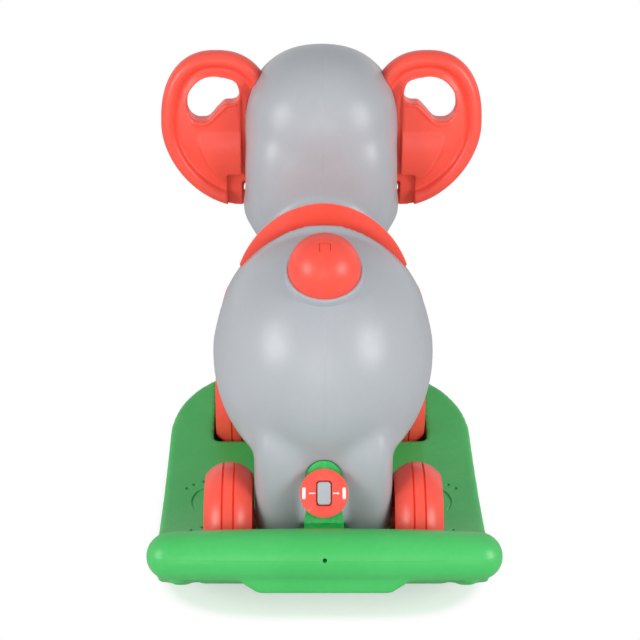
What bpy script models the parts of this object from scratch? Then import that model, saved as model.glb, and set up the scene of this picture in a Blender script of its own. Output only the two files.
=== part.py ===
# Rocking elephant: a blow-moulded ride-on elephant on four wheels, which stands in a rocker base.
# Units are metres, +Z is up and the elephant faces -Y. The origin is on the ground, in the middle.
import math

import bmesh
import bpy
from mathutils import Matrix, Vector

# Clearances and walls
SEAT_GAP = 0.0003  # between two pieces that sit on or in each other
RUN_GAP = 0.0004  # between a turning piece and what it turns on or in
WALL = 0.0034  # wall of the two blow-moulded hollow bodies

# Rocker base
BASE_HALF_WIDTH = 0.1645
BASE_FRONT_Y = -0.2005
CORNER_ACROSS = 0.090  # the rounded front corners, across and along
CORNER_ALONG = 0.105
EDGE_ROUND = 0.0075
BOARD_REAR_Y = 0.226
REAR_TUCK = 0.010  # how much the tray draws in, at the sides and below, to end inside the rail
REAR_TUCK_START_Y = 0.130
REAR_TUCK_RISE_Y = 0.190
FLOOR_LOW_Y = 0.061  # where the tray is lowest
FLOOR_LOW_Z = 0.047
FLOOR_RADIUS_FRONT = 1.0
FLOOR_RADIUS_REAR = 0.365
RAMP_START_Y = 0.192
RAMP_END_Y = 0.213
RAMP_END_Z = 0.104
ROCKER_RADIUS = 0.445
ROCKER_END_RADIUS = 0.220  # tighter beyond the wheels, up to the ends
ROCKER_END_REACH = 0.145
ROCKER_CENTRE_Y = 0.003
ROCKER_FLAT = 0.070  # length of the flat the base rests on when it is still
RUNNER_X = 0.136
RUNNER_WIDTH = 0.014
RUNNER_DROP = 0.006
RUNNER_FRONT_Y = -0.148
RUNNER_REAR_Y = 0.214
RAIL_Y = 0.231
RAIL_Z = 0.1055
RAIL_RADIUS = 0.024
RAIL_HALF_LENGTH = 0.1645
STOP_TOP_HALF_WIDTH = 0.072
STOP_BOTTOM_HALF_WIDTH = 0.065
STOP_FRONT_Y = 0.206
STOP_REAR_Y = 0.230
STOP_BOTTOM_Z = 0.0615
BLOW_HOLE_RADIUS = 0.0022

# Wheels and axles
WHEEL_RADIUS = 0.057
WHEEL_WIDTH = 0.046
WHEEL_OUTER_X = 0.114
WHEEL_SHELL = 0.0036
TREAD_GROOVE = 0.0018
REAR_AXLE_Y = 0.136
FRONT_AXLE_Y = -0.130
AXLE_Z = 0.085
AXLE_RADIUS = 0.004
HUB_RADIUS = 0.012
HUB_CAP_RADIUS = 0.0165
WELL_CLEARANCE = 0.0016
WELL_SIDE_CLEARANCE = 0.003
WELL_WALL = 0.0026
POD_TOP_Z = 0.048  # the wells bulge out below the tray as pods, which start inside it at this height
LIFT_TRAVEL = 0.120

# Elephant body: centres and half sizes of its main forms
RUMP_CENTRE = (0.0, 0.059, 0.231)
RUMP_SEMI = (0.1075, 0.122, 0.127)
BACK_CENTRE = (0.0, -0.005, 0.236)
BACK_SEMI = (0.094, 0.125, 0.110)
CHEST_CENTRE = (0.0, -0.066, 0.212)
CHEST_SEMI = (0.088, 0.088, 0.112)
NECK_CENTRE = (0.0, -0.112, 0.285)
NECK_SEMI = (0.063, 0.070, 0.075)
HEAD_CENTRE = (0.0, -0.144, 0.3655)
HEAD_SEMI = (0.0800, 0.0765, 0.1115)
HEAD_POWER = 3.0
CHEEK_CENTRE = (0.0, -0.138, 0.312)
CHEEK_SEMI = (0.0828, 0.066, 0.0435)
CHEEK_POWER = 2.25
LEG_X = 0.0390
LEG_HALF_WIDTH = 0.0275
LEG_HALF_LENGTH = 0.046
LEG_BOTTOM_Z = 0.063
LEG_TOP_Z = 0.203
LEG_POWER = 4.0
LEG_CLEARANCE = 0.004  # between the leg ends and the tray
REAR_LEG_Y = 0.125
FRONT_LEG_Y = -0.128
TRUNK_TOP = (-0.190, 0.352)
TRUNK_BEND = (-0.2245, 0.290)
TRUNK_LOW = (-0.2190, 0.200)
TRUNK_TIP = (-0.2362, 0.134)
TRUNK_TOP_RADIUS = 0.040
TRUNK_TIP_RADIUS = 0.0205
RIDGE_Y = 0.058
RIDGE_TOP_Z = 0.3655
RIDGE_HALF_WIDTH = 0.101
RIDGE_HALF_THICKNESS = 0.010
BODY_BLOW_HOLE_RADIUS = 0.004

# Tail
TAIL_LIFT = math.radians(61)  # how far the tail's axis leans up from level
TAIL_RADIUS = 0.034
TAIL_HEIGHT = 0.0350
TAIL_COLLAR_RADIUS = 0.0015
TAIL_SUNK = 0.004
TAIL_RECESS = 0.0042

# Ears, which are the handles
EAR_Y = -0.144
EAR_CENTRE_X = 0.084
EAR_CENTRE_Z = 0.396
EAR_REACH = 0.0858
EAR_RISE = 0.0840
EAR_FALL = 0.0925
EAR_TOP_POWER = 2.7
EAR_LOW_POWER = 1.82
EAR_RIM_RADIUS = 0.0118
EAR_PLATE = 0.0075
EAR_HUB_Z = 0.378
EAR_HUB_HALF_HEIGHT = 0.026
EAR_HUB_HALF_DEPTH = 0.0125
EAR_HUB_OUTER_X = 0.130
EAR_SEAT_X = 0.0760
EAR_ROOT_X = 0.062  # how far in the ear is drawn before it is trimmed to the head's side
EAR_HEAD_GAP = 0.0016
EAR_TENON_HALF_HEIGHT = 0.014
EAR_TENON_HALF_DEPTH = 0.008
EAR_TENON_DEPTH = 0.015
# Handle hole, as the points (across, up) that its closed curve goes through
HANDLE_HOLE = (
    (0.0993, 0.4491),
    (0.0885, 0.4399),
    (0.0880, 0.4286),
    (0.0941, 0.4230),
    (0.1064, 0.4194),
    (0.1156, 0.4082),
    (0.1259, 0.4030),
    (0.1371, 0.4092),
    (0.1422, 0.4204),
    (0.1381, 0.4368),
    (0.1238, 0.4491),
)

# Saddle
SADDLE_FRONT_Y = -0.046
SEAT_FRONT_HALF_WIDTH = 0.0865
SEAT_FRONT_TOP_Z = 0.338
SADDLE_REAR_Y = 0.0475
SADDLE_SUNK = 0.0022
SADDLE_PROUD = 0.0024
SADDLE_FRONT_ANGLE = math.radians(45)
SADDLE_REAR_ANGLE = math.radians(48)
CANTLE_RISE = 0.0185
CANTLE_LENGTH = 0.020
CANTLE_FADE = 2.4  # how late the raised edge falls away towards its two ends

# Side caps and eyes
FLAT_CENTRE = (0.1025, 0.0445, 0.264)  # on the flank, before the flat is cut
FLAT_DEPTH = 0.0024
CAP_RISE = 0.0130  # of the cap's centre above the flat's
CAP_SUNK = 0.0014  # of the cap's face below the flat
CAP_RADIUS = 0.0185
CAP_THICKNESS = 0.005
EYE_X = 0.031
EYE_Z = 0.396
EYE_RADIUS = 0.0135
PUPIL_RADIUS = 0.0070

# Latch that ties the elephant to the base
LATCH_CENTRE = (0.0, 0.184, 0.143)  # centre of the knob's outer face
LATCH_LEAN = math.radians(28)
KNOB_RADIUS = 0.0234
KNOB_THICKNESS = 0.0068
KNOB_FLAT_X = 0.0206  # where the disc's sides are cut back above and below its two tabs
KNOB_TAB_HEIGHT = 0.0104
KNOB_POCKET_DEPTH = 0.0050
KEY_HALF_WIDTH = 0.0062
KEY_HALF_HEIGHT = 0.0107
KEY_PROUD = 0.0010
SPINDLE_RADIUS = 0.0045
BRACKET_HALF_WIDTH = 0.017
BRACKET_BOSS_RADIUS = 0.0208  # round part behind the knob
BRACKET_FLARE = 0.0016  # how much wider each side is at the fold
BRACKET_THICKNESS = 0.005
BRACKET_TOP = 0.035
BRACKET_FOLD = 0.024
BRACKET_LEG_BOTTOM_Z = 0.090
BRACKET_FOOT_Y = 0.2155
CAM_HALF_LENGTH = 0.01225
CAM_HALF_WIDTH = 0.0042
CAM_THICKNESS = 0.005
LIP_THICKNESS = 0.004
LATCH_PAD_HALF_WIDTH = 0.019
LATCH_PAD_BOTTOM = 0.030

# Screws: head radius, head height, shank radius, shank length
SCREW_HEAD_RADIUS = 0.0040
SCREW_HEAD_HEIGHT = 0.0022
SCREW_SHANK_RADIUS = 0.0019
SCREW_SHANK_LENGTH = 0.0120

# Mesh fineness
ROUND = 20
SMALL_ROUND = 10
BODY_VOXEL = 0.0045
SADDLE_CELLS = (16, 9)

COLOURS = {
    "grey": ((0.47, 0.48, 0.50), 0.38, 0.0),
    "red": ((0.93, 0.08, 0.055), 0.36, 0.0),
    "green": ((0.05, 0.52, 0.10), 0.40, 0.0),
    "deep_green": ((0.02, 0.38, 0.07), 0.36, 0.0),
    "white": ((0.86, 0.86, 0.84), 0.30, 0.0),
    "black": ((0.015, 0.015, 0.018), 0.25, 0.0),
    "nylon": ((0.72, 0.72, 0.70), 0.45, 0.0),
    "steel": ((0.56, 0.57, 0.58), 0.28, 1.0),
}


def clear_scene():
    for item in list(bpy.data.objects):
        bpy.data.objects.remove(item, do_unlink=True)


def make_materials():
    made = {}
    for name, (colour, roughness, metallic) in COLOURS.items():
        material = bpy.data.materials.new(name)
        material.use_nodes = True
        shader = material.node_tree.nodes["Principled BSDF"]
        shader.inputs["Base Color"].default_value = (*colour, 1.0)
        shader.inputs["Roughness"].default_value = roughness
        shader.inputs["Metallic"].default_value = metallic
        made[name] = material
    return made


def object_from(bm, name, colour="grey"):
    # Turns a bmesh into an object of the scene.
    bmesh.ops.recalc_face_normals(bm, faces=bm.faces)
    mesh = bpy.data.meshes.new(name)
    bm.to_mesh(mesh)
    bm.free()
    item = bpy.data.objects.new(name, mesh)
    bpy.context.scene.collection.objects.link(item)
    mesh.materials.append(MATERIALS[colour])
    return item


def freeze(item):
    # Replaces the object's mesh by what its modifiers make of it.
    bpy.context.view_layer.update()
    graph = bpy.context.evaluated_depsgraph_get()
    mesh = bpy.data.meshes.new_from_object(item.evaluated_get(graph))
    item.modifiers.clear()
    item.data = mesh


def combine(item, other, operation, solver):
    # Boolean with a helper, which is then removed.
    modifier = item.modifiers.new(operation.lower(), "BOOLEAN")
    modifier.operation = operation
    modifier.solver = solver
    modifier.object = other
    other.data.materials[0] = item.data.materials[0]
    freeze(item)
    bpy.data.objects.remove(other, do_unlink=True)


def cut(item, other, solver="EXACT"):
    combine(item, other, "DIFFERENCE", solver)


def add(item, other, solver="EXACT"):
    combine(item, other, "UNION", solver)


def carve(item, other):
    # For the two big hollow bodies, in which the exact solver leaves open edges.
    cut(item, other, "MANIFOLD")


def weld(item, other):
    add(item, other, "MANIFOLD")


def finish(item, angle=35):
    item.data.shade_smooth()
    item.data.set_sharp_from_angle(angle=math.radians(angle))
    return item


def frame_at(origin, up):
    # Frame whose local Z points along up, with local X kept level.
    z = Vector(up).normalized()
    x = Vector((0, 0, 1)).cross(z)
    x = x.normalized() if x.length > 1e-6 else Vector((1, 0, 0))
    y = z.cross(x)
    rotation = Matrix((x, y, z)).transposed().to_4x4()
    return Matrix.Translation(Vector(origin)) @ rotation


def move(bm, matrix):
    bmesh.ops.transform(bm, matrix=matrix, verts=bm.verts)


def turned(profile, frame, segments=ROUND):
    # Solid of revolution: profile is a closed outline of (radius, height) points round local Z.
    bm = bmesh.new()
    ring = [bm.verts.new((radius, 0, height)) for radius, height in profile]
    edges = [bm.edges.new((a, b)) for a, b in zip(ring, ring[1:] + ring[:1])]
    bmesh.ops.spin(
        bm, geom=ring + edges, cent=(0, 0, 0), axis=(0, 0, 1), angle=math.tau, steps=segments, use_merge=True
    )
    bmesh.ops.remove_doubles(bm, verts=bm.verts, dist=1e-6)
    bmesh.ops.dissolve_degenerate(bm, edges=bm.edges, dist=1e-7)
    move(bm, frame)
    return bm


def rod(start, end, radius, segments=ROUND, end_radius=None):
    start = Vector(start)
    end = Vector(end)
    bm = bmesh.new()
    bmesh.ops.create_cone(
        bm,
        cap_ends=True,
        segments=segments,
        radius1=radius,
        radius2=radius if end_radius is None else end_radius,
        depth=(end - start).length,
    )
    move(bm, frame_at((start + end) / 2, end - start))
    return bm


def box(low, high):
    low = Vector(low)
    high = Vector(high)
    bm = bmesh.new()
    bmesh.ops.create_cube(bm, size=1.0)
    bmesh.ops.scale(bm, vec=high - low, verts=bm.verts)
    bmesh.ops.translate(bm, vec=(low + high) / 2, verts=bm.verts)
    return bm


def prism(outline, thickness_from, thickness_to, matrix=Matrix.Identity(4)):
    # Outline of (x, y) points, extruded along local Z.
    bm = bmesh.new()
    corners = [bm.verts.new((x, y, thickness_from)) for x, y in outline]
    face = bm.faces.new(corners)
    grown = bmesh.ops.extrude_face_region(bm, geom=[face])
    top = [part for part in grown["geom"] if isinstance(part, bmesh.types.BMVert)]
    bmesh.ops.translate(bm, vec=(0, 0, thickness_to - thickness_from), verts=top)
    move(bm, matrix)
    return bm


def mapped_block(across, along, place):
    # A block of across by along cells, each corner put where place(u, v, w) says, with u, v, w in 0 to 1.
    bm = bmesh.new()
    bmesh.ops.create_grid(bm, x_segments=across, y_segments=along, size=0.5)
    grown = bmesh.ops.extrude_face_region(bm, geom=bm.faces[:])
    top = [part for part in grown["geom"] if isinstance(part, bmesh.types.BMVert)]
    bmesh.ops.translate(bm, vec=(0, 0, 1), verts=top)
    for vert in bm.verts:
        vert.co = place(vert.co.x + 0.5, vert.co.y + 0.5, vert.co.z)
    return bm


def rounded_form(centre, semi, power=2.0, detail=4):
    # Ellipsoid, or with a higher power one with fuller shoulders.
    bm = bmesh.new()
    bmesh.ops.create_icosphere(bm, subdivisions=detail, radius=1.0)
    for vert in bm.verts:
        spread = sum(abs(part) ** power for part in vert.co) ** (1.0 / power)
        unit = vert.co / spread
        vert.co = Vector(centre) + Vector(unit[i] * semi[i] for i in range(3))
    return bm


def closed_curve(points, steps):
    # Points on the smooth closed curve through the given ones, steps to each stretch.
    found = []
    count = len(points)
    for i in range(count):
        before, start, end, after = (Vector(points[(i + k) % count]) for k in (-1, 0, 1, 2))
        for step in range(steps):
            t = step / steps
            found.append(
                0.5
                * (
                    2 * start
                    + (end - before) * t
                    + (2 * before - 5 * start + 4 * end - after) * t**2
                    + (3 * start - before - 3 * end + after) * t**3
                )
            )
    return found


def screw_at(name, seat, direction, length=SCREW_SHANK_LENGTH):
    # A pan-head screw whose head's underside is at seat and whose shank runs along direction.
    profile = (
        (0, -length),
        (SCREW_SHANK_RADIUS * 0.5, -length),
        (SCREW_SHANK_RADIUS, -length + SCREW_SHANK_RADIUS),
        (SCREW_SHANK_RADIUS, 0),
        (SCREW_HEAD_RADIUS, 0),
        (SCREW_HEAD_RADIUS, SCREW_HEAD_HEIGHT * 0.5),
        (SCREW_HEAD_RADIUS * 0.6, SCREW_HEAD_HEIGHT),
        (0, SCREW_HEAD_HEIGHT),
    )
    away = -Vector(direction)
    return finish(object_from(turned(profile, frame_at(seat, away), SMALL_ROUND), name, "steel"))


def screw_hole(seat, direction, length=SCREW_SHANK_LENGTH, mouth=0.02, spare=SEAT_GAP):
    # Counterbore and pilot hole for a screw placed by screw_at.
    profile = (
        (0, -length - spare),
        (SCREW_SHANK_RADIUS + spare, -length - spare),
        (SCREW_SHANK_RADIUS + spare, -spare),
        (SCREW_HEAD_RADIUS + 2 * spare, -spare),
        (SCREW_HEAD_RADIUS + 2 * spare, mouth),
        (0, mouth),
    )
    away = -Vector(direction)
    return turned(profile, frame_at(seat, away), SMALL_ROUND)


# Latch frame: local X to the viewer's right from behind, local Y up the bracket, local Z out of the knob
LATCH_UP = Vector((0, -math.sin(LATCH_LEAN), math.cos(LATCH_LEAN)))
LATCH_OUT = Vector((0, math.cos(LATCH_LEAN), math.sin(LATCH_LEAN)))
LATCH_FRAME = Matrix.Translation(Vector(LATCH_CENTRE)) @ Matrix(
    (Vector((-1, 0, 0)), LATCH_UP, LATCH_OUT)
).transposed().to_4x4()
BRACKET_REAR = -KNOB_THICKNESS - SEAT_GAP
BRACKET_FRONT = BRACKET_REAR - BRACKET_THICKNESS
PAD_FACE = BRACKET_FRONT - 2 * SEAT_GAP
POCKET_TOP = PAD_FACE - LIP_THICKNESS
CAM_REAR = POCKET_TOP - 2 * SEAT_GAP
CAM_FRONT = CAM_REAR - CAM_THICKNESS
SPINDLE_END = CAM_REAR + SEAT_GAP
POCKET_FLOOR = CAM_FRONT - SCREW_HEAD_HEIGHT - 4 * SEAT_GAP

# Tail frame: local Z along the tail, out of the rump
TAIL_AXIS = Vector((0, math.cos(TAIL_LIFT), math.sin(TAIL_LIFT)))
TAIL_SPREAD = math.hypot(RUMP_SEMI[1] * TAIL_AXIS.y, RUMP_SEMI[2] * TAIL_AXIS.z)
TAIL_BASE = Vector(
    (
        0,
        RUMP_CENTRE[1] + RUMP_SEMI[1] ** 2 * TAIL_AXIS.y / TAIL_SPREAD,
        RUMP_CENTRE[2] + RUMP_SEMI[2] ** 2 * TAIL_AXIS.z / TAIL_SPREAD,
    )
)
TAIL_FRAME = frame_at(TAIL_BASE, TAIL_AXIS)


def floor_z(y):
    # Height of the tray's top, with the ramp up to the rear rail.
    radius = FLOOR_RADIUS_FRONT if y < FLOOR_LOW_Y else FLOOR_RADIUS_REAR
    height = FLOOR_LOW_Z + (y - FLOOR_LOW_Y) ** 2 / (2 * radius)
    ramp = min(max((y - RAMP_START_Y) / (RAMP_END_Y - RAMP_START_Y), 0), 1)
    return height + (RAMP_END_Z - height) * ramp


def rocker_z(y):
    # Height of the rocker's underside: flat where the base rests, then round, then rounder.
    along = abs(y - ROCKER_CENTRE_Y)
    reach = math.sqrt(ROCKER_RADIUS**2 - (ROCKER_FLAT / 2) ** 2)
    if along <= ROCKER_END_REACH:
        return max(reach - math.sqrt(ROCKER_RADIUS**2 - along**2), 0)
    share = 1 - ROCKER_END_RADIUS / ROCKER_RADIUS
    centre_along = ROCKER_END_REACH * share
    centre_z = reach - math.sqrt(ROCKER_RADIUS**2 - ROCKER_END_REACH**2) * share
    return centre_z - math.sqrt(max(ROCKER_END_RADIUS**2 - (along - centre_along) ** 2, 0))


def eased(share):
    share = min(max(share, 0), 1)
    return share * share * (3 - 2 * share)


def base_half_width(y):
    along = min(max((BASE_FRONT_Y + CORNER_ALONG - y) / CORNER_ALONG, 0), 1)
    tuck = REAR_TUCK * eased((y - REAR_TUCK_START_Y) / (BOARD_REAR_Y - REAR_TUCK_START_Y))
    return BASE_HALF_WIDTH - tuck - CORNER_ACROSS * (1 - math.sqrt(1 - along**2))


def board_underside(y):
    tuck = REAR_TUCK * eased((y - REAR_TUCK_RISE_Y) / (BOARD_REAR_Y - REAR_TUCK_RISE_Y))
    return rocker_z(y) + RUNNER_DROP + tuck


def board(inset=0.0, cells=(6, 18)):
    # The tray as a thick curved plate. An inset makes the same shape smaller all round, for the hollow.
    corner_share = 0.32
    rear_y = BOARD_REAR_Y - inset

    def place(u, v, w):
        if v < corner_share:
            y = BASE_FRONT_Y + CORNER_ALONG * (1 - math.cos(v / corner_share * math.pi / 2))
        else:
            start = BASE_FRONT_Y + CORNER_ALONG
            y = start + (rear_y - start) * (v - corner_share) / (1 - corner_share)
        x = (2 * u - 1) * (base_half_width(y) - inset)
        low = board_underside(y) + inset
        high = floor_z(y) - inset
        y = max(y, BASE_FRONT_Y + inset)
        return Vector((x, y, low + (high - low) * w))

    return mapped_block(cells[0], cells[1], place)


def rail(inset=0.0, segments=18):
    # The round rail across the rear end, with rounded ends.
    radius = RAIL_RADIUS - inset
    half = RAIL_HALF_LENGTH - inset
    steps = 4
    end = [
        (radius * math.cos(k * math.pi / 2 / steps), half - radius + radius * math.sin(k * math.pi / 2 / steps))
        for k in range(steps + 1)
    ]
    start = [(r, -h) for r, h in reversed(end)]
    return turned(start + end, frame_at((0, RAIL_Y, RAIL_Z), (1, 0, 0)), segments)


def runner(side):
    steps = 22
    span = RUNNER_REAR_Y - RUNNER_FRONT_Y
    stations = [RUNNER_FRONT_Y + span * k / steps for k in range(steps + 1)]
    flat = [ROCKER_CENTRE_Y - ROCKER_FLAT / 2, ROCKER_CENTRE_Y + ROCKER_FLAT / 2]
    stations = sorted(stations + flat)
    under = [(y, rocker_z(y)) for y in stations]
    over = [(y, rocker_z(y) + RUNNER_DROP + WALL * 0.7) for y in reversed(stations)]
    middle = Matrix.Translation((side * RUNNER_X, 0, 0))
    stand = Matrix(((0, 0, 1, 0), (1, 0, 0, 0), (0, 1, 0, 0), (0, 0, 0, 1)))
    return prism(under + over, -RUNNER_WIDTH / 2, RUNNER_WIDTH / 2, middle @ stand)


def side_prism(outline, half_width):
    # Outline of (y, z) points, extruded across X.
    stand = Matrix(((0, 0, 1, 0), (1, 0, 0, 0), (0, 1, 0, 0), (0, 0, 0, 1)))
    return prism(outline, -half_width, half_width, stand)


def stop_block(inset=0.0):
    top_z = RAIL_Z - RAIL_RADIUS * 0.35
    outline = (
        (-STOP_BOTTOM_HALF_WIDTH + inset, STOP_BOTTOM_Z + inset),
        (STOP_BOTTOM_HALF_WIDTH - inset, STOP_BOTTOM_Z + inset),
        (STOP_TOP_HALF_WIDTH - inset, RAIL_Z - RAIL_RADIUS * 0.9),
        (STOP_TOP_HALF_WIDTH - inset, top_z),
        (-STOP_TOP_HALF_WIDTH + inset, top_z),
        (-STOP_TOP_HALF_WIDTH + inset, RAIL_Z - RAIL_RADIUS * 0.9),
    )
    stand = Matrix(((1, 0, 0, 0), (0, 0, -1, 0), (0, 1, 0, 0), (0, 0, 0, 1)))
    return prism(outline, -STOP_REAR_Y + inset, -STOP_FRONT_Y - inset, stand)


def wheel_well(side, axle_y, spare=0.0):
    # The space a wheel stands in, drawn out along the way the elephant lifts off.
    radius = WHEEL_RADIUS + WELL_CLEARANCE + spare
    steps = 12
    lift = Vector((LATCH_UP.y, LATCH_UP.z)) * LIFT_TRAVEL
    across = math.atan2(lift.y, lift.x) - math.pi / 2
    arc = [
        Vector((math.cos(across - math.pi * k / steps), math.sin(across - math.pi * k / steps))) * radius
        for k in range(steps + 1)
    ]
    centre = Vector((axle_y, AXLE_Z))
    outline = [centre + point for point in arc] + [centre + lift + arc[-1], centre + lift + arc[0]]
    inner = WHEEL_OUTER_X - WHEEL_WIDTH - WELL_SIDE_CLEARANCE - spare
    outer = WHEEL_OUTER_X + WELL_SIDE_CLEARANCE + spare
    stand = Matrix(((0, 0, 1, 0), (1, 0, 0, 0), (0, 1, 0, 0), (0, 0, 0, 1)))
    ends = (inner, outer) if side > 0 else (-outer, -inner)
    return prism(outline, ends[0], ends[1], stand)


def well_pod(side, axle_y):
    # The rounded bottom of a well, where it stands out below the tray.
    radius = WHEEL_RADIUS + WELL_CLEARANCE + WELL_WALL
    steps = 12
    edge = math.asin((AXLE_Z - POD_TOP_Z) / radius)
    span = math.pi - 2 * edge
    outline = []
    for k in range(steps + 1):
        angle = -edge - span * k / steps
        outline.append((axle_y + radius * math.cos(angle), AXLE_Z + radius * math.sin(angle)))
    inner = WHEEL_OUTER_X - WHEEL_WIDTH - WELL_SIDE_CLEARANCE - WELL_WALL
    outer = WHEEL_OUTER_X + WELL_SIDE_CLEARANCE + WELL_WALL
    stand = Matrix(((0, 0, 1, 0), (1, 0, 0, 0), (0, 1, 0, 0), (0, 0, 0, 1)))
    ends = (inner, outer) if side > 0 else (-outer, -inner)
    return prism(outline, ends[0], ends[1], stand)


BRACKET_LEG_REAR = RAIL_Y - RAIL_RADIUS - SEAT_GAP
BRACKET_SCREW_X = 0.0105


def bracket_pad(spare=0.0):
    # Flat boss on the rail's front that the bracket's leg is screwed to.
    half = BRACKET_HALF_WIDTH + BRACKET_FLARE + 0.002 + spare
    low = (-half, RAIL_Y - RAIL_RADIUS - spare, BRACKET_LEG_BOTTOM_Z - 0.002 - spare)
    return box(low, (half, RAIL_Y - 0.004 + spare, RAIL_Z + 0.008 + spare))


def foot_notch(spare=0.0):
    # Room for the bracket's foot in the top of the rail.
    half = BRACKET_HALF_WIDTH + BRACKET_FLARE + SEAT_GAP + spare
    low = (-half, RAIL_Y - RAIL_RADIUS - 0.01, bracket_foot_z() - BRACKET_THICKNESS - SEAT_GAP - spare)
    return box(low, (half, BRACKET_FOOT_Y + SEAT_GAP + spare, RAIL_Z + RAIL_RADIUS + 0.01))


def leg_pocket(spare=0.0):
    # Room for the bracket's leg in front of the rail, and for its screws' heads.
    half = BRACKET_HALF_WIDTH + BRACKET_FLARE + SEAT_GAP + spare
    front = BRACKET_LEG_REAR - BRACKET_THICKNESS - 0.010
    low = (-half, front - spare, BRACKET_LEG_BOTTOM_Z - SEAT_GAP - spare)
    return box(low, (half, BRACKET_LEG_REAR + SEAT_GAP + spare, RAIL_Z + RAIL_RADIUS))


def bracket_foot_z():
    fold = LATCH_FRAME @ Vector((0, -BRACKET_FOLD, BRACKET_REAR))
    return fold.z


def bracket_screw_seats():
    return [Vector((side * BRACKET_SCREW_X, BRACKET_LEG_REAR - BRACKET_THICKNESS, RAIL_Z - 0.004)) for side in (1, -1)]


def make_rocker_base():
    base = object_from(board(), "rocker_base", "green")
    rim = base.modifiers.new("edge_round", "BEVEL")
    rim.width = EDGE_ROUND
    rim.segments = 2
    rim.limit_method = "ANGLE"
    rim.angle_limit = math.radians(50)
    rim.use_clamp_overlap = True
    freeze(base)
    for side in (1, -1):
        weld(base, object_from(runner(side), "runner"))
    weld(base, object_from(rail(), "rail"))
    weld(base, object_from(stop_block(), "stop"))
    weld(base, object_from(bracket_pad(), "pad"))
    for side in (1, -1):
        for axle_y in (FRONT_AXLE_Y, REAR_AXLE_Y):
            weld(base, object_from(well_pod(side, axle_y), "pod"))
    hollow = object_from(board(WALL, (4, 14)), "hollow")
    weld(hollow, object_from(rail(WALL, 12), "rail_hollow"))
    weld(hollow, object_from(stop_block(WALL), "stop_hollow"))
    carve(hollow, object_from(bracket_pad(WALL), "pad_wall"))
    carve(hollow, object_from(foot_notch(WALL), "notch_wall"))
    carve(hollow, object_from(leg_pocket(WALL), "leg_wall"))
    for side in (1, -1):
        for axle_y in (FRONT_AXLE_Y, REAR_AXLE_Y):
            carve(base, object_from(wheel_well(side, axle_y), "well"))
            carve(hollow, object_from(wheel_well(side, axle_y, WALL), "well_wall"))
    carve(base, hollow)
    carve(base, object_from(foot_notch(), "notch"))
    carve(base, object_from(leg_pocket(), "leg_pocket"))
    for seat in bracket_screw_seats():
        carve(base, object_from(screw_hole(seat, (0, 1, 0)), "pilot"))
    hole_start = (0, RAIL_Y, RAIL_Z - 0.004)
    hole_end = (0, RAIL_Y + RAIL_RADIUS + 0.01, RAIL_Z - 0.004)
    carve(base, object_from(rod(hole_start, hole_end, BLOW_HOLE_RADIUS, SMALL_ROUND), "blow_hole"))
    return finish(base)


def make_latch_bracket():
    # A tongue with a round head and a wider round part behind the knob, drawn as one outline.
    def arc(centre, radius, start, end, steps):
        angles = [start + (end - start) * k / steps for k in range(steps + 1)]
        return [(radius * math.cos(angle), centre + radius * math.sin(angle)) for angle in angles]

    foot_half = BRACKET_HALF_WIDTH + BRACKET_FLARE
    leave = math.acos(BRACKET_HALF_WIDTH / BRACKET_BOSS_RADIUS)
    flare_y = -BRACKET_BOSS_RADIUS * 0.75
    flare_end = -BRACKET_FOLD + 0.003
    outline = [(-BRACKET_HALF_WIDTH, flare_y), (-foot_half, flare_end), (-foot_half, -BRACKET_FOLD)]
    outline += [(foot_half, -BRACKET_FOLD), (foot_half, flare_end), (BRACKET_HALF_WIDTH, flare_y)]
    outline += arc(0, BRACKET_BOSS_RADIUS, -leave, leave, 6)
    outline += arc(BRACKET_TOP - BRACKET_HALF_WIDTH, BRACKET_HALF_WIDTH, 0, math.pi, 10)
    outline += arc(0, BRACKET_BOSS_RADIUS, math.pi - leave, math.pi + leave, 6)
    bracket = object_from(prism(outline, BRACKET_FRONT, BRACKET_REAR, LATCH_FRAME), "latch_bracket", "deep_green")
    rear = LATCH_FRAME @ Vector((0, -BRACKET_FOLD + 0.002, BRACKET_REAR))
    front = LATCH_FRAME @ Vector((0, -BRACKET_FOLD + 0.002, BRACKET_FRONT))
    top_z = bracket_foot_z()
    under_z = top_z - BRACKET_THICKNESS
    leg_front = BRACKET_LEG_REAR - BRACKET_THICKNESS
    foot = (
        (front.y, front.z),
        (front.y + 0.002, under_z),
        (leg_front, under_z),
        (leg_front, BRACKET_LEG_BOTTOM_Z),
        (BRACKET_LEG_REAR, BRACKET_LEG_BOTTOM_Z),
        (BRACKET_LEG_REAR, under_z),
        (BRACKET_FOOT_Y, under_z),
        (BRACKET_FOOT_Y, top_z),
        (rear.y + 0.001, top_z),
        (rear.y, rear.z),
    )
    add(bracket, object_from(side_prism(foot, foot_half), "foot"))
    hole = rod(LATCH_FRAME @ Vector((0, 0, -0.03)), LATCH_FRAME @ Vector((0, 0, 0.03)), SPINDLE_RADIUS + RUN_GAP)
    cut(bracket, object_from(hole, "bore"))
    for seat in bracket_screw_seats():
        cut(bracket, object_from(rod(seat - Vector((0, 0.01, 0)), seat + Vector((0, 0.01, 0)),
                                     SCREW_SHANK_RADIUS + SEAT_GAP, SMALL_ROUND), "screw_clearance"))
    return finish(bracket)


def rounded_rectangle(half_width, half_height, radius, steps=3):
    points = []
    for quarter, (sx, sy) in enumerate(((1, 1), (-1, 1), (-1, -1), (1, -1))):
        for k in range(steps + 1):
            angle = (quarter + k / steps) * math.pi / 2
            points.append(
                (
                    sx * (half_width - radius) + radius * math.cos(angle),
                    sy * (half_height - radius) + radius * math.sin(angle),
                )
            )
    return points


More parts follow.
